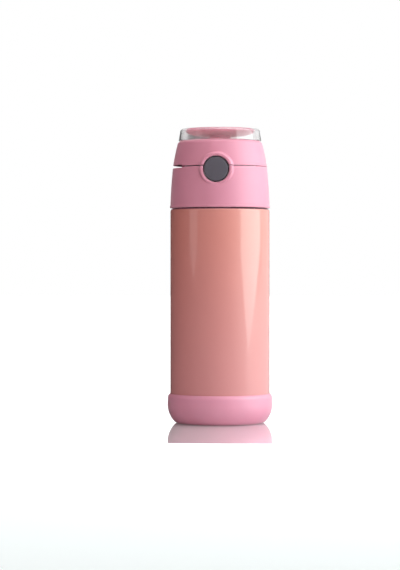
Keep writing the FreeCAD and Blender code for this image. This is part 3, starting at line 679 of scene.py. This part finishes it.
def button_room(name):
    """Room for the button, flared at its mouth so that the ring round it is rounded inside."""
    flare = 0.6
    proud = 0.03
    back = 26.133
    clear_of_ring = 40.0
    throat = (HOLE_R, BOSS_FACE + proud - flare)
    mouth = (HOLE_R + flare, BOSS_FACE + proud)
    outline = [(0, back), (HOLE_R, back), throat]
    outline += bow(throat, mouth, flare, -1, 6)
    outline += [mouth, (HOLE_R + flare, clear_of_ring), (0, clear_of_ring)]
    return lathe(name, outline, FRONT, 128)


def barrel(y_start, z_start, degrees, steps=16):
    """Arc of the hinge's barrel from a start angle, as (y, z) points."""
    begin = math.radians(y_start)
    return [
        (HINGE_Y + BARREL_R * math.cos(begin + math.radians(degrees) * step / steps),
         z_start + BARREL_R * math.sin(begin + math.radians(degrees) * step / steps))
        for step in range(steps + 1)
    ]


class BOTTLE_OT_lid(bpy.types.Operator):
    """Screw-on lid: collar with deck, latch chamber and hinge lugs, and the threaded insert"""

    bl_idname = "bottle.lid"
    bl_label = "Lid"

    def execute(self, context):
        sizes = context.scene.bottle_sizes
        foot = 33.3
        step = 0.3
        bead = 1.3
        wall_start = (foot - step, COLLAR_BOTTOM + bead + step)
        wall = bow(wall_start, (COLLAR_RIM, COLLAR_TOP), 300.0, 1, 16)
        hub_bore = 8.05
        rim_top = COLLAR_TOP + 0.2
        platform = 18.0
        platform_under = 169.3
        collar = lathe("collar_ring", soften(
            [(COLLAR_BORE + 0.1, COLLAR_BOTTOM), (foot, COLLAR_BOTTOM, 0.45),
             (foot, COLLAR_BOTTOM + bead, 0.3), (*wall_start, 0.25)]
            + wall
            + [(COLLAR_RIM, rim_top), (COLLAR_BORE, rim_top), (COLLAR_BORE, DECK_TOP, 0.3),
               (platform, DECK_TOP, 0.6), (platform, PLATFORM_TOP, 0.8), (hub_bore, PLATFORM_TOP, 0.3),
               (hub_bore, FLANGE_TOP), (hub_bore + 2.25, FLANGE_TOP),
               (hub_bore + 2.25, platform_under), (16.2, platform_under),
               (16.2, DECK_UNDER), (28.2, DECK_UNDER), (28.2, WEB_TOP), (COLLAR_BORE, WEB_TOP),
               (COLLAR_BORE, COLLAR_BOTTOM + 7.0), (COLLAR_BORE + 0.1, COLLAR_BOTTOM + 5.8)]))
        ring = front_ring("collar_boss", 29.2)
        cut(ring, block("seam", (-20, -50, rim_top), (20, 0, 200)))
        cut(ring, rod("bore_room", COLLAR_BORE + 0.5, 150.0, 180.0, None, 144))
        join(collar, ring)
        lean = lathe("seam_lean", [(28.5, 0), (36.0, 0), (36.0, 3.0), (28.5, 3.0)], None, 131)
        cut(lean, block("hinge_side", (-40, 20, -5), (40, 40, 5)))
        lift = Matrix.Translation((0, 0, (COLLAR_TOP - 0.1) * MM))
        lean.data.transform(lift @ Matrix.Rotation(-math.radians(0.46), 4, "Y"))
        cut(collar, lean)
        lugs = prism("lugs", [
            (HINGE_Y - BARREL_R, 161.0), (HINGE_Y - BARREL_R / 3, 161.0),
            (HINGE_Y + BARREL_R - 0.3, HINGE_Z - BARREL_R / 2),
        ] + barrel(0, HINGE_Z, 180), -LUG_END, LUG_END)
        join(collar, lugs)
        cut(collar, rod("relief", RELIEF_R, -KNUCKLE_ROOM, KNUCKLE_ROOM, ACROSS))
        cut(collar, block("window", (-KNUCKLE_ROOM, COLLAR_RIM + 0.25, DECK_UNDER - 0.6),
                          (KNUCKLE_ROOM, 40, HINGE_Z)))
        cut(collar, rod("pin_bore", PIN_R, -BORE_END, BORE_END, ACROSS, 48))
        cut(collar, button_room("button_hole"))
        cut(collar, block("chamber", (-10.1, -28.733, WEB_TOP - 0.6), (10.1, -10.6, DECK_UNDER)))
        cut(collar, block("slot", (-5.1, -25.533, DECK_UNDER - 0.1), (5.1, -17.933, DECK_TOP + 0.1)))
        cut(collar, rod("vent", 1.5, 169.0, PLATFORM_TOP + 0.2, AT_VENT, 48))
        cut(collar, block("notch", (-40, -40, COLLAR_TOP - NOTCH_DEPTH), (-NOTCH_X, 40, COLLAR_TOP + 2)))
        join(collar, block("rib", (-5.88, -15.233, 161.1), (5.88, -13.733, 169.6)))
        round_edges(collar, sizes.edge_round)
        dress(collar, "lid", "pink_plastic", "collar")

        bore = 1.7
        spigot = 2.7
        nipple = 3.0
        plug = 21.2
        plug_outside = plug + 1.2
        plug_bottom = 153.4
        spigot_bottom = 146.0
        skirt_bottom = 144.6
        nipple_top = 163.5
        insert = lathe("insert_cup", soften([
            (bore, spigot_bottom), (spigot, spigot_bottom, 0.4), (spigot, SEAL_TOP, 0.5),
            (plug, SEAL_TOP, 0.4), (plug, plug_bottom, 0.3), (plug_outside, plug_bottom, 0.3),
            (plug_outside, SEAL_TOP, 0.2),
            (INSERT_BORE, SEAL_TOP, 0.4), (INSERT_BORE, skirt_bottom, 0.5), (INSERT_R, skirt_bottom, 0.4),
            (INSERT_R, WEB_TOP, 0.3), (nipple, WEB_TOP, 0.3), (nipple, nipple_top, 0.4), (bore, nipple_top),
        ]))
        cut(insert, rod("vent", 1.5, 157.0, 159.4, AT_VENT, 48))
        dress(insert, "lid", "pale_plastic", "lid_insert")
        thread = helix_ridge(
            "insert_thread", INSERT_BORE, sizes.thread_depth / MM, 1.5, sizes.thread_pitch / MM,
            sizes.thread_turns, THREAD_START + sizes.thread_pitch / MM / 2, inward=True)
        dress(thread, "lid", "pale_plastic")
        return {"FINISHED"}


class BOTTLE_OT_cap(bpy.types.Operator):
    """Flip cap: tapered shell with hinge knuckles, inner cup and clear dome"""

    bl_idname = "bottle.cap"
    bl_label = "Flip cap"

    def execute(self, context):
        sizes = context.scene.bottle_sizes
        slope = (CAP_FOOT - CAP_RIM) / (CAP_TOP - CAP_BOTTOM)
        plateau = CAP_RIM - 3.7
        plateau_top = CAP_TOP + 0.5
        stem = 7.0
        stem_top = plateau_top + 4.0
        core = DOME_RIM - DOME_WALL - 0.6
        core_top = DOME_UNDER - 0.3
        core_edge = core_top - 0.6
        shoulder = (CAP_RIM + slope * 1.3, CAP_TOP - 1.3)
        shell = lathe("cap_skin", soften(
            [(CAP_FOOT - CAP_WALL, CAP_BOTTOM), (CAP_FOOT, CAP_BOTTOM)]
            + bow((CAP_FOOT, CAP_BOTTOM), shoulder, CAP_CURVE, 1, 12)
            + [(*shoulder, 1.5), (CAP_RIM - 1.3, CAP_TOP, 1.5),
               (plateau, CAP_TOP, 0.2), (plateau, plateau_top, 0.2),
               (stem, plateau_top, 0.6), (stem, stem_top, 1.6)]
            + bow((stem, stem_top), (core, core_edge), 120.0, 1, 10)
            + [(core, core_edge, 0.2), (core, core_top, 0.25), (0, core_top), (0, CAP_UNDER),
               (CAP_RIM - CAP_WALL + slope * CAP_WALL, CAP_UNDER)]))
        ring = front_ring("cap_boss", 28.1)
        cut(ring, block("seam", (-20, -50, 150), (20, 0, CAP_BOTTOM)))
        join(shell, ring)
        cut(shell, rod("lug_room", RELIEF_R, -11.45, 11.45, ACROSS))
        web_high = (CAP_BOTTOM + CAP_TOP) / 2
        web_r = CAP_FOOT - slope * (CAP_TOP - CAP_BOTTOM) / 2
        knuckle = prism("knuckle", barrel(180, HINGE_Z, 180) + [
            (HINGE_Y + BARREL_R - 0.3, HINGE_Z + BARREL_R / 2), (web_r, web_high),
            (web_r - CAP_WALL * 0.8, web_high), (HINGE_Y - BARREL_R + CAP_WALL / 3, HINGE_Z + BARREL_R),
        ], -7.0, 7.0)
        join(shell, knuckle)
        cut(shell, rod("spring_room", RELIEF_R, -3.6, 3.6, ACROSS))
        cut(shell, rod("pin_bore", PIN_R + 0.05, -BORE_END, BORE_END, ACROSS, 48))
        cut(shell, button_room("button_hole"))
        cut(shell, block("notch", (-40, -40, CAP_BOTTOM - 2), (-NOTCH_X, 40, CAP_BOTTOM + NOTCH_DEPTH)))
        round_edges(shell, sizes.edge_round)
        dress(shell, "cap", "pink_plastic", "cap_shell")

        skirt = 23.6
        skirt_inside = skirt - 1.6
        roof = 25.98
        cup = lathe("cap_cup", soften([
            (0, ROOF_UNDER), (skirt_inside, ROOF_UNDER, 0.6), (skirt_inside, SKIRT_BOTTOM, 0.3),
            (skirt, SKIRT_BOTTOM, 0.3), (skirt, ROOF_UNDER, 0.4), (roof, ROOF_UNDER, 0.2),
            (roof, CAP_UNDER, 0.2), (0, CAP_UNDER),
        ]))
        tongue_front = -24.933
        tongue_back = -23.433
        barb = -22.233
        tongue_tip = 163.4
        tongue_top = 175.8
        tongue = prism("tongue", [
            (tongue_front, tongue_top), (tongue_front, tongue_tip), (tongue_back, tongue_tip), (barb, 164.0),
            (barb, 165.0), (tongue_back, 165.0), (tongue_back, SKIRT_BOTTOM), (-22.0, SKIRT_BOTTOM),
            (-22.0, tongue_top),
        ], -4.5, 4.5)
        join(cup, tongue)
        round_edges(cup, 0.15 * MM)
        dress(cup, "cap", "pale_plastic", "cap_liner")

        dome_bottom = CAP_TOP + 0.02
        dome = lathe("dome_lens", soften([
            (DOME_FOOT - DOME_WALL, dome_bottom), (DOME_FOOT, dome_bottom, 0.25), (DOME_RIM, DOME_TOP, 1.5),
            (0, DOME_TOP), (0, DOME_UNDER), (DOME_RIM - DOME_WALL, DOME_UNDER, 0.8),
        ]))
        dress(dome, "cap", "clear_plastic", "clear_dome")
        return {"FINISHED"}


class BOTTLE_OT_button(bpy.types.Operator):
    """Round push button with a rounded rim, and its latch slide"""

    bl_idname = "bottle.button"
    bl_label = "Push button"

    def execute(self, context):
        face = BUTTON_FACE + BUTTON_PROUD
        button = lathe("button_face", soften([
            (0, PLATE_FRONT), (BUTTON_R, PLATE_FRONT, 0.1), (BUTTON_R, face, 0.5), (0, face),
        ]), FRONT, 160)
        dress(button, "button", "grey_plastic", "button_cap")
        coat_node("latch_slide", "pale_plastic")
        return {"FINISHED"}


class BOTTLE_OT_spout(bpy.types.Operator):
    """Soft drinking pieces: spout, straw, seals, stopper and vent valve"""

    bl_idname = "bottle.spout"
    bl_label = "Spout and seals"

    def execute(self, context):
        bore = 1.9
        socket = 3.02
        socket_top = 163.8
        flange = 10.5
        stem = 8.0
        neck = 5.0
        spout = lathe("spout_tube", soften([
            (socket, WEB_TOP), (flange, WEB_TOP, 0.3), (flange, FLANGE_TOP, 0.3), (stem, FLANGE_TOP),
            (stem, 171.9, 2.4), (neck, 174.9, 2.4), (neck, 177.0, 1.5), (6.2, 179.2, 1.2),
            (5.6, SPOUT_TIP, 1.6), (bore, SPOUT_TIP, 0.5), (bore, socket_top), (socket, socket_top),
        ]), None, 128)
        dress(spout, "lid", "clear_silicone", "spout")

        straw_bore = 2.75
        straw_r = 3.85
        straw_bottom = 14.0
        straw_top = 157.1
        straw = lathe("straw_tube", soften([
            (straw_bore, straw_bottom), (straw_r, straw_bottom, 0.2), (straw_r, straw_top, 0.2),
            (straw_bore, straw_top),
        ]), None, 96)
        reach = 4.15
        under = 13.7
        point = prism("point", [(-reach, under), (1.54, under), (-reach, 18.0)], -reach, reach)
        point.data.transform(Matrix.Rotation(math.radians(-90), 4, "Z"))
        cut(straw, point)
        shade(straw)
        dress(straw, "straw", "clear_silicone", "straw")

        seal = lathe("seal_ring", soften([
            (22.6, MOUTH_Z, 0.3), (24.0, MOUTH_Z), (24.3, MOUTH_Z + 0.25), (24.6, MOUTH_Z),
            (26.5, MOUTH_Z, 0.35), (26.5, SEAL_TOP, 0.35), (22.6, SEAL_TOP, 0.3),
        ]))
        dress(seal, "seal", "clear_silicone", "neck_seal")

        stopper = lathe("stopper_pad", soften([
            (0, 180.7), (1.3, 180.7, 0.4), (1.3, 181.5, 0.3), (6.6, 181.5, 0.2), (6.9, 181.9, 0.2),
            (7.2, 181.5, 0.2), (8.0, 181.5, 0.5), (8.0, ROOF_UNDER, 0.2), (0, ROOF_UNDER),
        ]), None, 96)
        dress(stopper, "cap", "clear_silicone", "spout_stopper")

        valve = lathe("valve_mushroom", soften([
            (0, 156.7), (3.0, 157.05, 0.1), (3.0, SEAL_TOP, 0.1), (1.48, SEAL_TOP), (1.48, WEB_TOP),
            (2.0, WEB_TOP, 0.1), (2.0, 159.6, 0.4), (1.0, 160.3, 0.5), (0, 160.3),
        ]), AT_VENT, 64)
        dress(valve, "lid", "clear_silicone", "vent_valve")
        return {"FINISHED"}


class BOTTLE_OT_springs(bpy.types.Operator):
    """Wire springs of the latch and the hinge, and the hinge pin"""

    bl_idname = "bottle.springs"
    bl_label = "Springs and pin"

    def execute(self, context):
        front = -19.933
        back = -15.533
        turns = 4.0
        coil = 1.6
        steps = 160
        points = []
        for number in range(steps + 1):
            share = number / steps
            angle = 2 * math.pi * turns * share
            points.append((
                coil * math.cos(angle), front + (back - front) * share, SPRING_Z + coil * math.sin(angle)))
        button_spring = wire_tube("latch_spring", points, 0.25)
        dress(button_spring, "lid", "spring_steel", "button_spring")
        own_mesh(button_spring)
        coat_node("hinge_spring", "spring_steel")

        pin = lathe("hinge_axle", soften([
            (0, -LUG_END), (PIN_R, -LUG_END, 0.25), (PIN_R, LUG_END, 0.25), (0, LUG_END),
        ]), ACROSS, 64)
        dress(pin, "lid", "spring_steel", "hinge_pin")
        return {"FINISHED"}


def card(name, corners, turn, distance, strength, colour=(1.0, 1.0, 1.0), tip=0.0):
    """Glowing card that faces the bottle from a bearing; corners are (sideways, height) in metres."""
    made = bpy.data.materials.new(name)
    made.use_nodes = True
    tree = made.node_tree
    tree.nodes.remove(tree.nodes["Principled BSDF"])
    glow = tree.nodes.new("ShaderNodeEmission")
    glow.inputs["Strength"].default_value = strength
    glow.inputs["Color"].default_value = (*colour, 1.0)
    link(tree, glow.outputs[0], tree.nodes["Material Output"].inputs["Surface"])
    work = bmesh.new()
    work.faces.new([work.verts.new((along, -distance, height)) for along, height in corners])
    mesh = bpy.data.meshes.new(name)
    work.to_mesh(mesh)
    work.free()
    sheet = new_object(name, mesh)
    sheet.rotation_euler = (tip, 0.0, turn)
    sheet.data.materials.append(made)
    sheet.visible_camera = False
    sheet.visible_transmission = False
    return sheet


def sum_node(tree, operation, *values, clamp=False):
    """Math node fed by numbers and other nodes' outputs; returns its own output."""
    node = tree.nodes.new("ShaderNodeMath")
    node.operation = operation
    node.use_clamp = clamp
    for socket, value in zip(node.inputs, values):
        if isinstance(value, float):
            socket.default_value = value
        else:
            link(tree, value, socket)
    return node.outputs[0]


def towards(tree, way, direction):
    """How far a ray's way points along a direction."""
    node = tree.nodes.new("ShaderNodeVectorMath")
    node.operation = "DOT_PRODUCT"
    node.inputs[1].default_value = direction
    link(tree, way, node.inputs[0])
    return node.outputs["Value"]


def white_world(tree, strength):
    """White surroundings of a strength that other nodes give."""
    node = tree.nodes.new("ShaderNodeBackground")
    node.inputs["Color"].default_value = (1.0, 1.0, 1.0, 1.0)
    link(tree, strength, node.inputs["Strength"])
    return node.outputs[0]


def dome_surroundings(tree, way):
    """What shows through the clear dome from left to right: pale, dark, white and pale again."""
    split = tree.nodes.new("ShaderNodeSeparateXYZ")
    link(tree, way, split.inputs[0])
    sideways = sum_node(tree, "MULTIPLY_ADD", split.outputs["X"], 0.5, 0.5)
    ramp = tree.nodes.new("ShaderNodeValToRGB")
    left, right = ramp.color_ramp.elements
    left.position = 0.30
    left.color = (0.80, 0.80, 0.78, 1.0)
    right.position = 0.80
    right.color = (0.70, 0.70, 0.70, 1.0)
    for place, grey in DOME_SIDES:
        ramp.color_ramp.elements.new(place).color = (grey, grey, grey, 1.0)
    link(tree, sideways, ramp.inputs["Fac"])
    return ramp.outputs["Color"]


def room_light(scene, turn):
    """White to the camera; to the bottle, dim behind on the left and brighter in front, right and above."""
    world = bpy.data.worlds.new("studio")
    world.use_nodes = True
    scene.world = world
    tree = world.node_tree
    tree.nodes.clear()
    way = tree.nodes.new("ShaderNodeTexCoord").outputs["Generated"]
    path = tree.nodes.new("ShaderNodeLightPath").outputs
    transmitted = path["Is Transmission Ray"]
    mirrored = path["Is Singular Ray"]

    # Light on the bottle, with a bright sheet behind it that its gloss shows
    level = sum_node(tree, "ADD", towards(tree, way, ROOM_LEAN), ROOM_LEVEL)
    behind = tree.nodes.new("ShaderNodeMapRange")
    behind.interpolation_type = "SMOOTHSTEP"
    behind.inputs["From Min"].default_value = BACK_SHEET_EDGE[0]
    behind.inputs["From Max"].default_value = BACK_SHEET_EDGE[1]
    behind.inputs["To Max"].default_value = BACK_SHEET
    link(tree, towards(tree, way, (-math.sin(turn), math.cos(turn), 0.0)), behind.inputs["Value"])
    not_through = sum_node(tree, "SUBTRACT", 1.0, transmitted)
    back_sheet = sum_node(tree, "MULTIPLY", behind.outputs["Result"], not_through)
    room = white_world(tree, sum_node(tree, "MAXIMUM", level, back_sheet))

    # White background, brighter in the glossy plate's mirror and on the core inside the dome
    brighter = sum_node(tree, "MULTIPLY_ADD", mirrored, MIRROR_GAIN, 1.0)
    inside = sum_node(tree, "MULTIPLY", transmitted, path["Diffuse Depth"], clamp=True)
    background = white_world(tree, sum_node(tree, "MULTIPLY_ADD", inside, DOME_GAIN, brighter))
    plain = sum_node(tree, "MAXIMUM", path["Is Camera Ray"], mirrored)
    through = sum_node(tree, "MULTIPLY", transmitted, dome_surroundings(tree, way))

    mix = tree.nodes.new("ShaderNodeMixShader")
    link(tree, sum_node(tree, "MAXIMUM", plain, through), mix.inputs["Fac"])
    link(tree, room, mix.inputs[1])
    link(tree, background, mix.inputs[2])
    out = tree.nodes.new("ShaderNodeOutputWorld")
    link(tree, mix.outputs[0], out.inputs["Surface"])


def floor_cover(name):
    """Matt pale floor that a camera sees lifted a little towards white."""
    made = bpy.data.materials.new(name)
    made.use_nodes = True
    tree = made.node_tree
    shader = tree.nodes["Principled BSDF"]
    shader.inputs["Base Color"].default_value = (*FLOOR_GREY, 1.0)
    shader.inputs["Roughness"].default_value = 0.9
    shader.inputs["Specular IOR Level"].default_value = 0.0
    shader.inputs["Emission Color"].default_value = (1.0, 1.0, 1.0, 1.0)
    path = tree.nodes.new("ShaderNodeLightPath").outputs
    seen = sum_node(tree, "MAXIMUM", path["Is Camera Ray"], path["Is Transmission Ray"])
    link(tree, sum_node(tree, "MULTIPLY", seen, FLOOR_LIFT), shader.inputs["Emission Strength"])
    return made


def polish(made):
    """Adds a gloss to a floor that grows towards a mirror at a low angle."""
    tree = made.node_tree
    tilt = tree.nodes.new("ShaderNodeLayerWeight")
    low = tree.nodes.new("ShaderNodeMapRange")
    low.inputs["From Min"].default_value = LOW_ANGLE[0]
    low.inputs["From Max"].default_value = LOW_ANGLE[1]
    low.inputs["To Max"].default_value = FLOOR_GLOSS
    link(tree, tilt.outputs["Facing"], low.inputs["Value"])
    mirror = tree.nodes.new("ShaderNodeBsdfPrincipled")
    mirror.inputs["Base Color"].default_value = (1.0, 1.0, 1.0, 1.0)
    mirror.inputs["Metallic"].default_value = 1.0
    mirror.inputs["Roughness"].default_value = 0.0
    mix = tree.nodes.new("ShaderNodeMixShader")
    link(tree, low.outputs["Result"], mix.inputs["Fac"])
    link(tree, tree.nodes["Principled BSDF"].outputs["BSDF"], mix.inputs[1])
    link(tree, mirror.outputs["BSDF"], mix.inputs[2])
    link(tree, mix.outputs[0], tree.nodes["Material Output"].inputs["Surface"])
    return made


def flat_sheet(name, outline, height, cover):
    """Flat piece of the stage at a height, from (x, y) corners in metres."""
    work = bmesh.new()
    work.faces.new([work.verts.new((x, y, height)) for x, y in outline])
    mesh = bpy.data.meshes.new(name)
    work.to_mesh(mesh)
    work.free()
    sheet = new_object(name, mesh)
    sheet.data.materials.append(cover)
    sheet.visible_glossy = False
    return sheet


class BOTTLE_OT_stage(bpy.types.Operator):
    """Pale floor with a glossy plate, soft studio light and the camera"""

    bl_idname = "bottle.stage"
    bl_label = "Stage"

    def execute(self, context):
        sizes = context.scene.bottle_sizes
        scene = context.scene
        scene.view_settings.view_transform = "Standard"
        room_light(scene, sizes.camera_turn)

        far = FLOOR_REACH
        round_floor = [(far * math.cos(math.radians(step * 5)), far * math.sin(math.radians(step * 5)))
                       for step in range(72)]
        flat_sheet("studio_floor", round_floor, FLOOR_Z, floor_cover("floor_paper"))
        corners = [(-far, PLATE_EDGE), (far, PLATE_EDGE), (far, far), (-far, far)]
        plate = flat_sheet("glossy_plate", corners, PLATE_Z, polish(floor_cover("floor_gloss")))
        plate.visible_diffuse = False
        plate.visible_shadow = False

        card("key_card",
             [(-0.09, 0.0), (-0.06, 0.0), (0.37, 0.165), (0.37, 0.80), (-0.29, 0.80), (-0.29, 0.17)],
             turn=math.radians(78), distance=0.6, strength=5.2, colour=(0.74, 1.0, 0.97))
        card("rim_card", [(-0.30, -0.12), (0.30, -0.12), (0.30, 0.6), (-0.30, 0.6)],
             turn=math.radians(138), distance=0.7, strength=1.15)
        shine = card("left_card", [(0.0, 0.118), (0.11, 0.165), (0.11, 0.5), (-0.11, 0.5), (-0.11, 0.165)],
                     turn=math.radians(-58), distance=0.6, strength=1.6)
        shine.visible_diffuse = False
        fill = card("fill_card", [(-0.30, 0.0), (0.30, 0.0), (0.30, 0.28), (-0.30, 0.28)],
                    turn=math.radians(70), distance=0.6, strength=3.2, colour=(0.80, 1.0, 1.0))
        fill.visible_glossy = False
        foot = card("foot_card", [(-0.13, -0.12), (0.60, -0.12), (0.60, 0.10), (0.20, 0.08), (-0.13, 0.0)],
                    turn=math.radians(78), distance=0.61, strength=1.6)
        foot.visible_diffuse = False
        card("top_card", [(-0.15, -0.40), (0.30, -0.40), (0.30, 0.15), (-0.15, 0.15)],
             turn=0.0, distance=0.6, strength=2.3, tip=math.radians(-90))

        data = bpy.data.cameras.new("photo_camera")
        data.lens = FOCAL_PIXELS * SENSOR / PHOTO_HEIGHT
        data.sensor_width = SENSOR
        data.shift_x = SHIFT_PIXELS[0] / PHOTO_HEIGHT
        data.shift_y = SHIFT_PIXELS[1] / PHOTO_HEIGHT
        data.dof.use_dof = False
        camera = bpy.data.objects.new("photo_camera", data)
        scene.collection.objects.link(camera)
        camera.location = (
            sizes.camera_distance * math.sin(sizes.camera_turn),
            -sizes.camera_distance * math.cos(sizes.camera_turn),
            sizes.camera_height)
        camera.rotation_euler = (math.radians(90), 0.0, sizes.camera_turn)
        scene.camera = camera
        return {"FINISHED"}


class BOTTLE_PT_panel(bpy.types.Panel):
    """Lists the bottle's pieces, sizes and colours"""

    bl_idname = "BOTTLE_PT_panel"
    bl_label = "Straw Bottle"
    bl_space_type = "VIEW_3D"
    bl_region_type = "UI"
    bl_category = "Bottle"

    def draw(self, context):
        layout = self.layout
        for operator in PIECES:
            layout.operator(operator.bl_idname)
        for group in (context.scene.bottle_sizes, context.scene.bottle_colours):
            box = layout.box()
            for name in group.__annotations__:
                box.prop(group, name)


PIECES = (
    BOTTLE_OT_flask, BOTTLE_OT_boot, BOTTLE_OT_lid, BOTTLE_OT_cap, BOTTLE_OT_button,
    BOTTLE_OT_spout, BOTTLE_OT_springs, BOTTLE_OT_stage,
)
CLASSES = (BottleSizes, BottleColours, *PIECES, BOTTLE_PT_panel)


def register():
    for entry in CLASSES:
        bpy.utils.register_class(entry)
    bpy.types.Scene.bottle_sizes = bpy.props.PointerProperty(type=BottleSizes)
    bpy.types.Scene.bottle_colours = bpy.props.PointerProperty(type=BottleColours)


def unregister():
    del bpy.types.Scene.bottle_colours
    del bpy.types.Scene.bottle_sizes
    for entry in reversed(CLASSES):
        bpy.utils.unregister_class(entry)


def main():
    register()
    bpy.ops.bottle.flask()
    bpy.ops.bottle.boot()
    bpy.ops.bottle.lid()
    bpy.ops.bottle.cap()
    bpy.ops.bottle.button()
    bpy.ops.bottle.spout()
    bpy.ops.bottle.springs()
    bpy.ops.bottle.stage()


if __name__ == "__main__":
    main()
